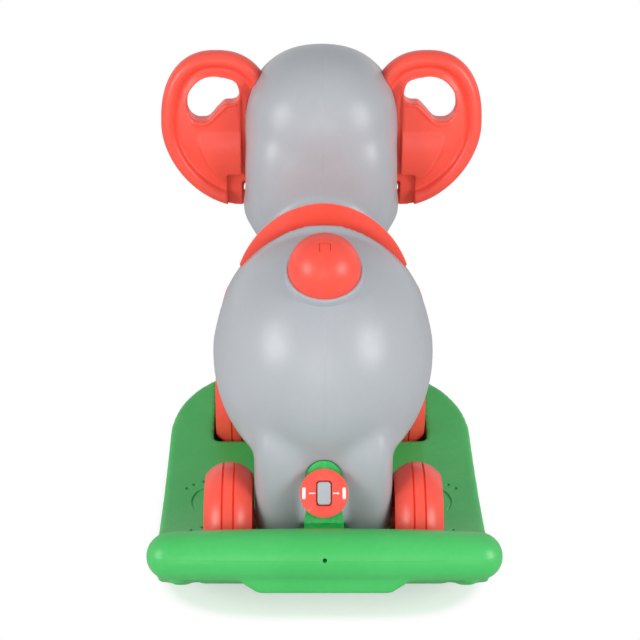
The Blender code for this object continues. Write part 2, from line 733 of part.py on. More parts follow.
def make_lock():
    edge = 0.0012
    disc = (
        (0, -KNOB_THICKNESS),
        (KNOB_RADIUS - edge, -KNOB_THICKNESS),
        (KNOB_RADIUS, -KNOB_THICKNESS + edge),
        (KNOB_RADIUS, -edge),
        (KNOB_RADIUS - edge, 0),
        (0, 0),
    )
    knob = object_from(turned(disc, LATCH_FRAME, 28), "lock_knob", "red")
    for side in (1, -1):
        for up in (1, -1):
            low_x, high_x = sorted((side * KNOB_FLAT_X, side * (KNOB_RADIUS + 0.003)))
            low_y, high_y = sorted((up * KNOB_TAB_HEIGHT / 2, up * KNOB_RADIUS))
            notch = box((low_x, low_y, -KNOB_THICKNESS - 0.003), (high_x, high_y, 0.003))
            move(notch, LATCH_FRAME)
            cut(knob, object_from(notch, "notch"))
    corner = 0.003
    pocket = rounded_rectangle(KEY_HALF_WIDTH + SEAT_GAP, KEY_HALF_HEIGHT + SEAT_GAP, corner)
    cut(knob, object_from(prism(pocket, -KNOB_POCKET_DEPTH, 0.01, LATCH_FRAME), "pocket"))
    bore = rod(LATCH_FRAME @ Vector((0, 0, -0.02)), LATCH_FRAME @ Vector((0, 0, 0)), SPINDLE_RADIUS + SEAT_GAP)
    cut(knob, object_from(bore, "bore"))
    finish(knob)

    key = rounded_rectangle(KEY_HALF_WIDTH, KEY_HALF_HEIGHT, corner)
    key_base = -KNOB_POCKET_DEPTH + SEAT_GAP
    spindle = object_from(prism(key, key_base, KEY_PROUD, LATCH_FRAME), "lock_spindle", "grey")
    shaft = rod(
        LATCH_FRAME @ Vector((0, 0, SPINDLE_END)), LATCH_FRAME @ Vector((0, 0, key_base + 0.001)), SPINDLE_RADIUS
    )
    add(spindle, object_from(shaft, "shaft"))
    cam_screw_seat = LATCH_FRAME @ Vector((0, 0, CAM_FRONT - SEAT_GAP))
    pilot = rod(
        cam_screw_seat, cam_screw_seat + LATCH_OUT * (SCREW_SHANK_LENGTH + SEAT_GAP * 2),
        SCREW_SHANK_RADIUS + SEAT_GAP, SMALL_ROUND,
    )
    cut(spindle, object_from(pilot, "pilot"))
    finish(spindle)

    bar = rounded_rectangle(CAM_HALF_WIDTH, CAM_HALF_LENGTH, CAM_HALF_WIDTH * 0.8)
    cam = object_from(prism(bar, CAM_FRONT, CAM_REAR, LATCH_FRAME), "lock_cam", "nylon")
    through = rod(
        LATCH_FRAME @ Vector((0, 0, CAM_FRONT - 0.01)), LATCH_FRAME @ Vector((0, 0, CAM_REAR + 0.01)),
        SCREW_SHANK_RADIUS + SEAT_GAP, SMALL_ROUND,
    )
    cut(cam, object_from(through, "through"))
    finish(cam)
    screw_at("lock_cam_screw", cam_screw_seat, LATCH_OUT)


def remeshed(item, voxel, rounds, faces):
    # Joins overlapping forms into one skin, softens their joins and thins the mesh.
    skin = item.modifiers.new("skin", "REMESH")
    skin.mode = "VOXEL"
    skin.voxel_size = voxel
    soften = item.modifiers.new("soften", "SMOOTH")
    soften.factor = 0.5
    soften.iterations = rounds
    freeze(item)
    if faces:
        thin = item.modifiers.new("thin", "DECIMATE")
        thin.ratio = min(faces / (2 * len(item.data.polygons)), 1.0)
        thin.use_symmetry = True
        thin.symmetry_axis = "X"
        freeze(item)


def keep_largest(item):
    # Drops the scraps that a Boolean can leave loose beside the main skin.
    bm = bmesh.new()
    bm.from_mesh(item.data)
    left = set(bm.verts)
    pieces = []
    while left:
        piece = {left.pop()}
        edge = list(piece)
        while edge:
            near = {link.other_vert(vert) for vert in edge for link in vert.link_edges}
            edge = list(near - piece)
            piece |= near
        left -= piece
        pieces.append(piece)
    pieces.sort(key=len)
    scraps = [vert for piece in pieces[:-1] for vert in piece]
    bmesh.ops.delete(bm, geom=scraps, context="VERTS")
    bm.to_mesh(item.data)
    bm.free()


def join_forms(name, forms, colour="grey"):
    bm = bmesh.new()
    for form in forms:
        mesh = bpy.data.meshes.new("form")
        bmesh.ops.recalc_face_normals(form, faces=form.faces)
        form.to_mesh(mesh)
        form.free()
        bm.from_mesh(mesh)
        bpy.data.meshes.remove(mesh)
    return object_from(bm, name, colour)


def trunk_forms(inset):
    # Overlapping balls along a smooth path in the middle plane.
    nodes = [Vector(point) for point in (TRUNK_TOP, TRUNK_BEND, TRUNK_LOW, TRUNK_TIP)]
    steps = 16
    forms = []
    for k in range(steps + 1):
        t = k / steps
        place = (
            nodes[0] * (1 - t) ** 3
            + nodes[1] * 3 * t * (1 - t) ** 2
            + nodes[2] * 3 * t**2 * (1 - t)
            + nodes[3] * t**3
        )
        radius = TRUNK_TOP_RADIUS + (TRUNK_TIP_RADIUS - TRUNK_TOP_RADIUS) * t - inset
        forms.append(rounded_form((0, place.x, place.y), (radius, radius, radius), detail=3))
    return forms


def main_forms(inset=0.0):
    def smaller(semi):
        return tuple(part - inset for part in semi)

    forms = [
        rounded_form(RUMP_CENTRE, smaller(RUMP_SEMI), detail=5),
        rounded_form(BACK_CENTRE, smaller(BACK_SEMI)),
        rounded_form(CHEST_CENTRE, smaller(CHEST_SEMI)),
        rounded_form(NECK_CENTRE, smaller(NECK_SEMI)),
        rounded_form(HEAD_CENTRE, smaller(HEAD_SEMI), HEAD_POWER, detail=5),
        rounded_form(CHEEK_CENTRE, smaller(CHEEK_SEMI), CHEEK_POWER),
    ]
    leg_semi = (LEG_HALF_WIDTH, LEG_HALF_LENGTH, (LEG_TOP_Z - LEG_BOTTOM_Z) / 2)
    for side in (1, -1):
        for leg_y in (FRONT_LEG_Y, REAR_LEG_Y):
            centre = (side * LEG_X, leg_y, (LEG_TOP_Z + LEG_BOTTOM_Z) / 2)
            forms.append(rounded_form(centre, smaller(leg_semi), LEG_POWER))
    return forms + trunk_forms(inset)


def floor_clearance(spare=0.0):
    # Everything under a line that stays clear of the tray.
    steps = 12
    start = FRONT_LEG_Y - 0.07
    end = REAR_LEG_Y + 0.062
    line = [start + (end - start) * k / steps for k in range(steps + 1)]
    outline = [(y, floor_z(y) + LEG_CLEARANCE + spare) for y in line] + [(end, 0.0), (start, 0.0)]
    return side_prism(outline, 0.11)


def latch_box(half_width, low_up, high_up, low_out, high_out):
    shape = box((-half_width, low_up, low_out), (half_width, high_up, high_out))
    move(shape, LATCH_FRAME)
    return shape


def ridge_form():
    half_height = RIDGE_TOP_Z - RUMP_CENTRE[2]
    centre = (0, RIDGE_Y, RUMP_CENTRE[2])
    return rounded_form(centre, (RIDGE_HALF_WIDTH, RIDGE_HALF_THICKNESS, half_height))


def tail_collar():
    steps = 4
    edge = [
        (
            TAIL_RADIUS + TAIL_COLLAR_RADIUS * (1 + math.cos(k * math.pi / 2 / steps)),
            TAIL_COLLAR_RADIUS * math.sin(k * math.pi / 2 / steps),
        )
        for k in range(steps + 1)
    ]
    foot = TAIL_RADIUS + 2 * TAIL_COLLAR_RADIUS
    profile = [(TAIL_RADIUS - 0.004, -0.014), (foot, -0.014)] + edge + [(TAIL_RADIUS - 0.004, TAIL_COLLAR_RADIUS)]
    return turned(profile, TAIL_FRAME, 26)


def flank_frame(side):
    # Stands on the flank, square to the rump's surface, with local Y up along it.
    out = Vector((FLAT_CENTRE[i] - RUMP_CENTRE[i]) / RUMP_SEMI[i] ** 2 for i in range(3))
    reach = math.sqrt(sum(((FLAT_CENTRE[i] - RUMP_CENTRE[i]) / RUMP_SEMI[i]) ** 2 for i in range(3)))
    place = Vector(RUMP_CENTRE) + (Vector(FLAT_CENTRE) - Vector(RUMP_CENTRE)) / reach
    out.x *= side
    place.x *= side
    return frame_at(place - out.normalized() * FLAT_DEPTH, out)


def side_cap_frame(side):
    return flank_frame(side) @ Matrix.Translation((0, CAP_RISE, -CAP_SUNK))


def eye_frame(side):
    across = (EYE_X / HEAD_SEMI[0]) ** HEAD_POWER + (abs(EYE_Z - HEAD_CENTRE[2]) / HEAD_SEMI[2]) ** HEAD_POWER
    y = HEAD_CENTRE[1] - HEAD_SEMI[1] * (1 - across) ** (1 / HEAD_POWER)
    return frame_at((side * EYE_X, y + 0.0015, EYE_Z), (side * 0.30, -1, 0.10))


def plug(frame, radius, low, high, segments=ROUND):
    return turned(((0, low), (radius, low), (radius, high), (0, high)), frame, segments)


def saddle_place(angle, y, offset):
    # A point on the seat's surface, or offset out from it, at an angle from straight up.
    # The seat meets the rump at its rear and runs forward nearly level.
    rump = math.sqrt(1 - ((SADDLE_REAR_Y - RUMP_CENTRE[1]) / RUMP_SEMI[1]) ** 2)
    along = max((y - SADDLE_FRONT_Y) / (SADDLE_REAR_Y - SADDLE_FRONT_Y), 0)
    half_width = SEAT_FRONT_HALF_WIDTH + (RUMP_SEMI[0] * rump - SEAT_FRONT_HALF_WIDTH) * along
    front_rise = SEAT_FRONT_TOP_Z - RUMP_CENTRE[2]
    rise = front_rise + (RUMP_SEMI[2] * rump - front_rise) * along**1.6
    x = (half_width + offset) * math.sin(angle)
    return Vector((x, y, RUMP_CENTRE[2] + (rise + offset) * math.cos(angle)))


def saddle_seat_cutter():
    # Cuts the elephant's back to the saddle's underside, a seat gap below it.
    margin = SEAT_GAP
    front = SADDLE_FRONT_Y - margin
    length = SADDLE_REAR_Y - SADDLE_FRONT_Y + 2 * margin

    def place(u, v, w):
        widest = SADDLE_FRONT_ANGLE + (SADDLE_REAR_ANGLE - SADDLE_FRONT_ANGLE) * v + 0.005
        offset = -SADDLE_SUNK - 1.5 * SEAT_GAP if w < 0.5 else 0.045
        return saddle_place((2 * u - 1) * widest, front + length * v, offset)

    return mapped_block(*SADDLE_CELLS, place)


def make_saddle():
    def place(u, v, w):
        widest = SADDLE_FRONT_ANGLE + (SADDLE_REAR_ANGLE - SADDLE_FRONT_ANGLE) * v
        angle = (2 * u - 1) * widest
        y = SADDLE_FRONT_Y + (SADDLE_REAR_Y - SADDLE_FRONT_Y) * v
        if w < 0.5:
            return saddle_place(angle, y, -SADDLE_SUNK)
        near_rear = min(max(1 - (SADDLE_REAR_Y - y) / CANTLE_LENGTH, 0), 1)
        rise = CANTLE_RISE * near_rear**1.5 * (1 - abs(angle / SADDLE_REAR_ANGLE) ** CANTLE_FADE)
        return saddle_place(angle, y, SADDLE_PROUD + rise)

    saddle = object_from(mapped_block(*SADDLE_CELLS, place), "saddle", "red")
    for side, y in SADDLE_SCREWS:
        seat, inward = saddle_screw_seat(side, y)
        cut(saddle, object_from(screw_hole(seat, inward), "screw_clearance"))
    finish(saddle)


SADDLE_SCREW_ANGLE = math.radians(39)
SADDLE_SCREWS = ((1, -0.026), (-1, -0.026), (1, 0.020), (-1, 0.020))


def saddle_screw_seat(side, y):
    place = saddle_place(side * SADDLE_SCREW_ANGLE, y, 0.0004)
    deeper = saddle_place(side * SADDLE_SCREW_ANGLE, y, -0.010)
    return place, (deeper - place).normalized()


def bush_profile(spare=0.0):
    inner = AXLE_RADIUS + SEAT_GAP
    outer = AXLE_RADIUS + 0.0024 + spare
    flange = AXLE_RADIUS + 0.0055 + spare
    return inner, outer, flange


LEG_FACE_X = LEG_X + LEG_HALF_WIDTH - 0.0022  # flat that each bush's flange sits on
BUSH_FLANGE = 0.0016
BUSH_LENGTH = 0.012
HUB_END_X = LEG_FACE_X + SEAT_GAP + BUSH_FLANGE + SEAT_GAP


def axle_cutters(axle_y, spare=0.0):
    # Bore for the axle, with a wider seat for a bush at each end.
    inner, outer, flange = bush_profile()
    reach = LEG_X + LEG_HALF_WIDTH + 0.02
    shapes = [rod((-reach, axle_y, AXLE_Z), (reach, axle_y, AXLE_Z), AXLE_RADIUS + SEAT_GAP + spare, SMALL_ROUND + 2)]
    for side in (1, -1):
        mouth = side * reach
        seat_inner = side * (LEG_FACE_X - BUSH_LENGTH - SEAT_GAP - spare)
        shapes.append(rod((seat_inner, axle_y, AXLE_Z), (mouth, axle_y, AXLE_Z), outer + SEAT_GAP + spare, 18))
        face = side * (LEG_FACE_X - spare)
        shapes.append(rod((face, axle_y, AXLE_Z), (mouth, axle_y, AXLE_Z), HUB_RADIUS + 0.003 + spare, 20))
    return shapes


def ear_socket(side, spare=0.0):
    # Flat seat and deeper slot in the side of the head, for the ear's hub and tenon.
    seat = [
        (math.cos(k * math.tau / 24) * (EAR_HUB_HALF_HEIGHT + 0.0005 + spare),
         math.sin(k * math.tau / 24) * (EAR_HUB_HALF_DEPTH + 0.0005 + spare))
        for k in range(24)
    ]
    slot = rounded_rectangle(
        EAR_TENON_HALF_HEIGHT + SEAT_GAP + spare, EAR_TENON_HALF_DEPTH + SEAT_GAP + spare, 0.003 + spare, 2
    )
    frame = Matrix.Translation((0, EAR_Y, EAR_HUB_Z)) @ Matrix(
        ((0, 0, side, 0), (0, side, 0, 0), (1, 0, 0, 0), (0, 0, 0, 1))
    )
    low = EAR_SEAT_X - EAR_TENON_DEPTH - 2 * SEAT_GAP - spare
    return [
        prism(seat, EAR_SEAT_X - SEAT_GAP - spare, EAR_SEAT_X + 0.03, frame),
        prism(slot, low, EAR_SEAT_X + 0.03, frame),
    ]


EAR_SCREW_X = EAR_SEAT_X - 0.008
EAR_SCREW_SEAT_Y = EAR_Y - EAR_TENON_HALF_DEPTH - 0.0065


def ear_screw_seats(side):
    return Vector((side * EAR_SCREW_X, EAR_SCREW_SEAT_Y, EAR_HUB_Z))


def latch_cutters():
    # Room in the elephant's rear for the bracket, the knob and the turning cam, and the cam's way out.
    clearance = 0.0012
    shapes = [
        latch_box(BRACKET_HALF_WIDTH + clearance, -0.10, BRACKET_TOP - BRACKET_HALF_WIDTH, PAD_FACE, 0.06),
        latch_box(BRACKET_BOSS_RADIUS + clearance, -0.10, 0, PAD_FACE, 0.06),
        rod(LATCH_FRAME @ Vector((0, 0, PAD_FACE)), LATCH_FRAME @ Vector((0, 0, 0.06)), BRACKET_BOSS_RADIUS + clearance, 28),
    ]
    top_centre = BRACKET_TOP - BRACKET_HALF_WIDTH
    shapes.append(
        rod(LATCH_FRAME @ Vector((0, top_centre, PAD_FACE)), LATCH_FRAME @ Vector((0, top_centre, 0.06)),
            BRACKET_HALF_WIDTH + clearance)
    )
    knob_room = KNOB_RADIUS + 0.001 + clearance
    knob_back = -KNOB_THICKNESS - 2 * clearance
    shapes.append(
        rod(LATCH_FRAME @ Vector((0, 0, knob_back)), LATCH_FRAME @ Vector((0, 0, 0.06)), knob_room, 32,
            knob_room + 0.02)
    )
    pocket_radius = CAM_HALF_LENGTH + 0.0008
    shapes.append(
        rod(LATCH_FRAME @ Vector((0, 0, POCKET_FLOOR)), LATCH_FRAME @ Vector((0, 0, POCKET_TOP)), pocket_radius)
    )
    groove = SPINDLE_RADIUS + RUN_GAP
    shapes.append(latch_box(groove, -0.10, 0, POCKET_FLOOR, PAD_FACE + 0.001))
    shapes.append(
        rod(LATCH_FRAME @ Vector((0, 0, POCKET_TOP - 0.001)), LATCH_FRAME @ Vector((0, 0, PAD_FACE + 0.001)), groove)
    )
    return shapes


def make_elephant_body():
    body = join_forms("elephant_body", main_forms())
    remeshed(body, BODY_VOXEL, 14, 0)
    details = [ridge_form()]
    details.append(
        latch_box(LATCH_PAD_HALF_WIDTH, -LATCH_PAD_BOTTOM, BRACKET_TOP, POCKET_FLOOR - 0.03, PAD_FACE + 0.002)
    )
    for form in details:
        weld(body, object_from(form, "detail"))
    remeshed(body, BODY_VOXEL, 4, 2300)
    weld(body, object_from(tail_collar(), "collar"))

    hollow = join_forms("hollow", main_forms(WALL + 0.0006))
    remeshed(hollow, BODY_VOXEL * 1.6, 8, 520)
    carve(hollow, object_from(latch_box(LATCH_PAD_HALF_WIDTH + WALL, -0.06, BRACKET_TOP + WALL,
                                      POCKET_FLOOR - WALL, 0.08), "latch_wall"))
    carve(hollow, object_from(floor_clearance(WALL), "leg_end_wall"))
    knob_wall = rod(LATCH_FRAME @ Vector((0, 0, -KNOB_THICKNESS - 0.006)), LATCH_FRAME @ Vector((0, 0, 0.06)),
                    KNOB_RADIUS + 0.001 + WALL + 0.0012, 24)
    carve(hollow, object_from(knob_wall, "knob_wall"))

    for axle_y in (FRONT_AXLE_Y, REAR_AXLE_Y):
        for shape in axle_cutters(axle_y, WALL * 0.7):
            carve(hollow, object_from(shape, "axle_wall"))
    for side in (1, -1):
        for shape in ear_socket(side, WALL * 0.8):
            carve(hollow, object_from(shape, "socket_wall"))
        screw = ear_screw_seats(side)
        carve(hollow, object_from(screw_hole(screw, (0, 1, 0), 0.022, 0.08, WALL * 0.7), "screw_wall"))
        carve(hollow, object_from(plug(side_cap_frame(side), CAP_RADIUS + WALL, -CAP_THICKNESS - 0.009, 0.02), "cap_wall"))
        carve(hollow, object_from(plug(eye_frame(side), EYE_RADIUS + WALL, -0.008, 0.02), "eye_wall"))
    tail_boss = plug(TAIL_FRAME, 0.010, -0.026, 0.02, SMALL_ROUND)
    carve(hollow, object_from(tail_boss, "tail_boss"))
    carve(hollow, object_from(plug(TAIL_FRAME, TAIL_RADIUS + WALL, -TAIL_SUNK - 0.005, 0.02), "tail_wall"))
    for side, y in SADDLE_SCREWS:
        seat, inward = saddle_screw_seat(side, y)
        boss = rod(seat - inward * 0.01, seat + inward * (SCREW_SHANK_LENGTH + WALL), 0.0060, SMALL_ROUND)
        carve(hollow, object_from(boss, "screw_boss"))
    carve(body, hollow)

    carve(body, object_from(floor_clearance(), "leg_ends"))
    carve(body, object_from(saddle_seat_cutter(), "saddle_seat"))
    for side, y in SADDLE_SCREWS:
        seat, inward = saddle_screw_seat(side, y)
        carve(body, object_from(screw_hole(seat, inward), "pilot"))
    for axle_y in (FRONT_AXLE_Y, REAR_AXLE_Y):
        for shape in axle_cutters(axle_y):
            carve(body, object_from(shape, "axle_bore"))
    for side in (1, -1):
        for shape in ear_socket(side):
            carve(body, object_from(shape, "socket"))
        carve(body, object_from(screw_hole(ear_screw_seats(side), (0, 1, 0), 0.022, 0.08), "ear_screw"))
        carve(body, object_from(plug(flank_frame(side), 0.036, 0, 0.02, 32), "flank_flat"))
        carve(body, object_from(plug(side_cap_frame(side), CAP_RADIUS + 0.0008, -CAP_THICKNESS, 0.02), "cap_seat"))
        carve(body, object_from(plug(side_cap_frame(side), 0.0034, -CAP_THICKNESS - 0.0055, 0, SMALL_ROUND), "cap_stud"))
        carve(body, object_from(plug(eye_frame(side), EYE_RADIUS + SEAT_GAP, -0.0040, 0.02), "eye_seat"))
    carve(body, object_from(plug(TAIL_FRAME, TAIL_RADIUS + SEAT_GAP, -TAIL_SUNK, 0.05, 26), "tail_seat"))
    carve(body, object_from(screw_hole(tail_screw_seat(), -TAIL_AXIS, TAIL_SCREW_LENGTH), "tail_pilot"))
    for shape in latch_cutters():
        carve(body, object_from(shape, "latch_room"))
    blow_start = (0, 0.020, RUMP_CENTRE[2] - RUMP_SEMI[2] + 0.03)
    blow_end = (0, 0.020, RUMP_CENTRE[2] - RUMP_SEMI[2] - 0.03)
    carve(body, object_from(rod(blow_start, blow_end, BODY_BLOW_HOLE_RADIUS, SMALL_ROUND), "blow_hole"))
    keep_largest(body)
    return finish(body)


TAIL_SCREW_LENGTH = 0.0390


def tail_screw_seat():
    return TAIL_BASE + TAIL_AXIS * (TAIL_HEIGHT - TAIL_RECESS)


def make_tail():
    # A hollow dome, open below, with a boss down its middle for the screw.
    wall = 0.003
    bottom = -TAIL_SUNK + SEAT_GAP
    steps = 7
    rise = TAIL_HEIGHT
    outside = [
        (TAIL_RADIUS * math.cos(k * math.pi / 2 / steps) ** 0.92, rise * math.sin(k * math.pi / 2 / steps))
        for k in range(steps + 1)
    ]
    outside[-1] = (0, rise)
    inside = [
        ((TAIL_RADIUS - wall) * math.cos(k * math.pi / 2 / 5), (rise - wall) * math.sin(k * math.pi / 2 / 5))
        for k in range(5)
    ]
    boss = 0.0075
    inside = [(r, h) for r, h in inside if r > boss + 0.002]
    roof = (rise - wall) * math.sqrt(max(1 - (boss / (TAIL_RADIUS - wall)) ** 2, 0))
    profile = [(TAIL_RADIUS, bottom)] + outside
    profile += [(0, bottom), (boss, bottom), (boss, roof)] + list(reversed(inside)) + [(TAIL_RADIUS - wall, bottom)]
    tail = object_from(turned(profile, TAIL_FRAME, 26), "tail", "red")
    recess = box((-0.0052, -0.0052, TAIL_HEIGHT - TAIL_RECESS - SEAT_GAP), (0.0052, 0.0052, TAIL_HEIGHT + 0.01))
    move(recess, TAIL_FRAME)
    cut(tail, object_from(recess, "recess"))
    through = plug(TAIL_FRAME, SCREW_SHANK_RADIUS + SEAT_GAP, -0.01, TAIL_HEIGHT, SMALL_ROUND)
    cut(tail, object_from(through, "through"))
    finish(tail)
    screw_at("tail_screw", tail_screw_seat(), -TAIL_AXIS, TAIL_SCREW_LENGTH - SEAT_GAP)


def ear_outline(inset, steps=26):
    # Outer edge of the ear from its lowest point, round the outside, to where it meets the head.
    points = []
    for k in range(steps + 1):
        angle = -math.pi / 2 + (math.pi * 1.06) * k / steps
        power = EAR_TOP_POWER if angle > 0 else EAR_LOW_POWER
        height = EAR_RISE if angle > 0 else EAR_FALL
        cosine = math.cos(angle)
        sine = math.sin(angle)
        across = math.copysign(abs(cosine) ** (2 / power), cosine) * (EAR_REACH - inset)
        up = math.copysign(abs(sine) ** (2 / power), sine) * (height - inset)
        points.append(Vector((EAR_CENTRE_X + across, EAR_CENTRE_Z + up)))
    return points


def ear_frame(side):
    # Local X out from the head, local Y up, local Z along the row's Y.
    return Matrix(((side, 0, 0, 0), (0, 0, 1, EAR_Y), (0, 1, 0, 0), (0, 0, 0, 1)))


def make_ear(side, name):
    # Plate, rim, barrel and hub run together, then the handle hole is cut and every edge is softened.
    frame = ear_frame(side)
    inner_edge = EAR_SEAT_X + 0.0085
    forms = []
    outline = ear_outline(EAR_RIM_RADIUS * 0.8)
    closing = [Vector((EAR_ROOT_X, outline[-1].y)), Vector((EAR_ROOT_X, outline[0].y))]
    plate_outline = [point for point in outline if point.x > EAR_ROOT_X] + closing
    forms.append(prism(plate_outline, -EAR_PLATE, 0.001, frame))
    rim_path = [point for point in ear_outline(EAR_RIM_RADIUS, 38) if point.x > EAR_ROOT_X]
    for point in rim_path:
        ball = rounded_form((point.x, point.y, 0), (EAR_RIM_RADIUS,) * 3, detail=2)
        move(ball, frame)
        forms.append(ball)
    barrel = rounded_form(
        ((inner_edge + EAR_HUB_OUTER_X) / 2, EAR_HUB_Z, 0),
        ((EAR_HUB_OUTER_X - inner_edge) / 2, EAR_HUB_HALF_HEIGHT, EAR_HUB_HALF_DEPTH), 3.2,
    )
    move(barrel, frame)
    forms.append(barrel)
    ear = join_forms(name, forms, "red")
    remeshed(ear, 0.0032, 2, 0)
    hole = [(point.x, point.y) for point in closed_curve([Vector(p) for p in HANDLE_HOLE], 3)]
    cut(ear, object_from(prism(hole, -0.03, 0.03, frame), "handle_hole"))
    remeshed(ear, 0.0030, 4, 760)
    clear = [part + EAR_HEAD_GAP for part in HEAD_SEMI]
    cut(ear, object_from(rounded_form(HEAD_CENTRE, clear, HEAD_POWER, detail=5), "head_side"))
    clear = [part + EAR_HEAD_GAP for part in CHEEK_SEMI]
    cut(ear, object_from(rounded_form(CHEEK_CENTRE, clear, CHEEK_POWER), "cheek_side"))
    neck = [
        (math.cos(k * math.tau / 24) * EAR_HUB_HALF_HEIGHT, math.sin(k * math.tau / 24) * EAR_HUB_HALF_DEPTH)
        for k in range(24)
    ]
    hub_frame = Matrix.Translation((0, EAR_Y, EAR_HUB_Z)) @ Matrix(
        ((0, 0, side, 0), (0, side, 0, 0), (1, 0, 0, 0), (0, 0, 0, 1))
    )
    add(ear, object_from(prism(neck, EAR_SEAT_X, inner_edge + 0.006, hub_frame), "neck"))
    tenon = rounded_rectangle(EAR_TENON_HALF_HEIGHT, EAR_TENON_HALF_DEPTH, 0.003, 2)
    add(ear, object_from(prism(tenon, EAR_SEAT_X - EAR_TENON_DEPTH, EAR_SEAT_X + 0.003, hub_frame), "tenon"))
    screw = ear_screw_seats(side)
    start = screw - Vector((0, 0.01, 0))
    end = screw + Vector((0, 0.05, 0))
    cut(ear, object_from(rod(start, end, SCREW_SHANK_RADIUS + SEAT_GAP, SMALL_ROUND), "screw_way"))
    finish(ear)


def make_side_cap(side, name):
    frame = side_cap_frame(side)
    bottom = -CAP_THICKNESS + SEAT_GAP
    stud = 0.0031
    profile = (
        (0, bottom - 0.005),
        (stud, bottom - 0.005),
        (stud, bottom),
        (CAP_RADIUS - 0.0006, bottom),
        (CAP_RADIUS, bottom + 0.0008),
        (CAP_RADIUS, -0.0016),
        (CAP_RADIUS - 0.0012, -0.0002),
        (CAP_RADIUS * 0.6, 0.0012),
        (0, 0.0017),
    )
    finish(object_from(turned(profile, frame, 22), name, "red"))


def make_eye(side, names):
    frame = eye_frame(side)
    low = -0.0040 + SEAT_GAP
    white = (
        (0, low),
        (EYE_RADIUS, low),
        (EYE_RADIUS, 0.0012),
        (EYE_RADIUS * 0.86, 0.0026),
        (PUPIL_RADIUS + SEAT_GAP, 0.0034),
        (PUPIL_RADIUS + SEAT_GAP, 0.0010),
        (0, 0.0010),
    )
    black = (
        (0, 0.0010 + SEAT_GAP),
        (PUPIL_RADIUS, 0.0010 + SEAT_GAP),
        (PUPIL_RADIUS, 0.0034),
        (PUPIL_RADIUS * 0.6, 0.0042),
        (0, 0.0044),
    )
    finish(object_from(turned(white, frame, 18), names[0], "white"))
    finish(object_from(turned(black, frame, 14), names[1], "black"))


def make_axle(axle_y, name):
    half = WHEEL_OUTER_X - 0.0100
    edge = 0.0006
    profile = (
        (0, -half),
        (AXLE_RADIUS - edge, -half),
        (AXLE_RADIUS, -half + edge),
        (AXLE_RADIUS, half - edge),
        (AXLE_RADIUS - edge, half),
        (0, half),
    )
    finish(object_from(turned(profile, frame_at((0, axle_y, AXLE_Z), (1, 0, 0)), 14), name, "steel"))


def corner_frame(side, axle_y):
    # Local Z along the axle, out from the elephant, measured from the middle plane.
    return frame_at((0, axle_y, AXLE_Z), (side, 0, 0))


def make_bush(side, axle_y, name):
    inner, outer, flange = bush_profile()
    face = LEG_FACE_X + SEAT_GAP
    profile = (
        (inner, face - BUSH_LENGTH),
        (outer, face - BUSH_LENGTH),
        (outer, face),
        (flange, face),
        (flange, face + BUSH_FLANGE),
        (inner, face + BUSH_FLANGE),
    )
    finish(object_from(turned(profile, corner_frame(side, axle_y), 14), name, "nylon"))


NUT_FACE_X = WHEEL_OUTER_X - 0.0150
NUT_THICKNESS = 0.0014


def make_wheel(side, axle_y, name):
    # A moulded wheel, open on its inner side: tread with two grooves, dished web and hub.
    outer = WHEEL_OUTER_X
    inner = WHEEL_OUTER_X - WHEEL_WIDTH
    radius = WHEEL_RADIUS
    bore = AXLE_RADIUS + RUN_GAP
    shell = WHEEL_SHELL
    shoulder = 0.009
    third = WHEEL_WIDTH / 2 - 0.0075
    groove = 0.0012
    web = NUT_FACE_X - SEAT_GAP
    cap_seat = HUB_CAP_RADIUS + SEAT_GAP
    profile = (
        (bore, HUB_END_X),
        (HUB_RADIUS, HUB_END_X),
        (HUB_RADIUS, web - 0.012),
        (radius - 0.018, web - 0.008),
        (radius - shell, inner + 0.001),
        (radius - 0.0022, inner),
        (radius, inner + shoulder * 0.7),
        (radius, inner + third - groove),
        (radius - TREAD_GROOVE, inner + third),
        (radius, inner + third + groove),
        (radius, outer - third - groove),
        (radius - TREAD_GROOVE, outer - third),
        (radius, outer - third + groove),
        (radius, outer - shoulder),
        (radius - 0.0024, outer - shoulder * 0.32),
        (radius - 0.0075, outer),
        (radius - 0.0190, outer - 0.0052),
        (cap_seat + 0.0035, outer - 0.0052),
        (cap_seat, outer - 0.0052),
        (cap_seat, web),
        (bore, web),
    )
    finish(object_from(turned(profile, corner_frame(side, axle_y), 22), name, "red"))


def make_push_nut(side, axle_y, name):
    profile = (
        (AXLE_RADIUS + SEAT_GAP, NUT_FACE_X),
        (AXLE_RADIUS + 0.0050, NUT_FACE_X),
        (AXLE_RADIUS + 0.0050, NUT_FACE_X + NUT_THICKNESS * 0.5),
        (AXLE_RADIUS + SEAT_GAP, NUT_FACE_X + NUT_THICKNESS),
    )
    finish(object_from(turned(profile, corner_frame(side, axle_y), SMALL_ROUND), name, "steel"))


def make_hub_cap(side, axle_y, name):
    # A domed cap with a skirt that snaps into the wheel's hub.
    low = NUT_FACE_X + SEAT_GAP
    top = WHEEL_OUTER_X
    profile = (
        (HUB_CAP_RADIUS - 0.002, low),
        (HUB_CAP_RADIUS, low),
        (HUB_CAP_RADIUS, top - 0.0035),
        (HUB_CAP_RADIUS - 0.002, top - 0.0012),
        (HUB_CAP_RADIUS * 0.5, top),
        (0, top + 0.0002),
        (0, top - 0.0030),
        (HUB_CAP_RADIUS - 0.004, top - 0.0038),
        (HUB_CAP_RADIUS - 0.002, top - 0.0052),
    )
    finish(object_from(turned(profile, corner_frame(side, axle_y), 18), name, "white"))


def make_running_gear():
    for axle_y, place in ((FRONT_AXLE_Y, "front"), (REAR_AXLE_Y, "rear")):
        make_axle(axle_y, f"{place}_axle")
        for side, hand in ((1, "left"), (-1, "right")):
            make_bush(side, axle_y, f"axle_bush_{place}_{hand}")
            make_wheel(side, axle_y, f"wheel_{place}_{hand}")
            make_push_nut(side, axle_y, f"push_nut_{place}_{hand}")
            make_hub_cap(side, axle_y, f"hub_cap_{place}_{hand}")


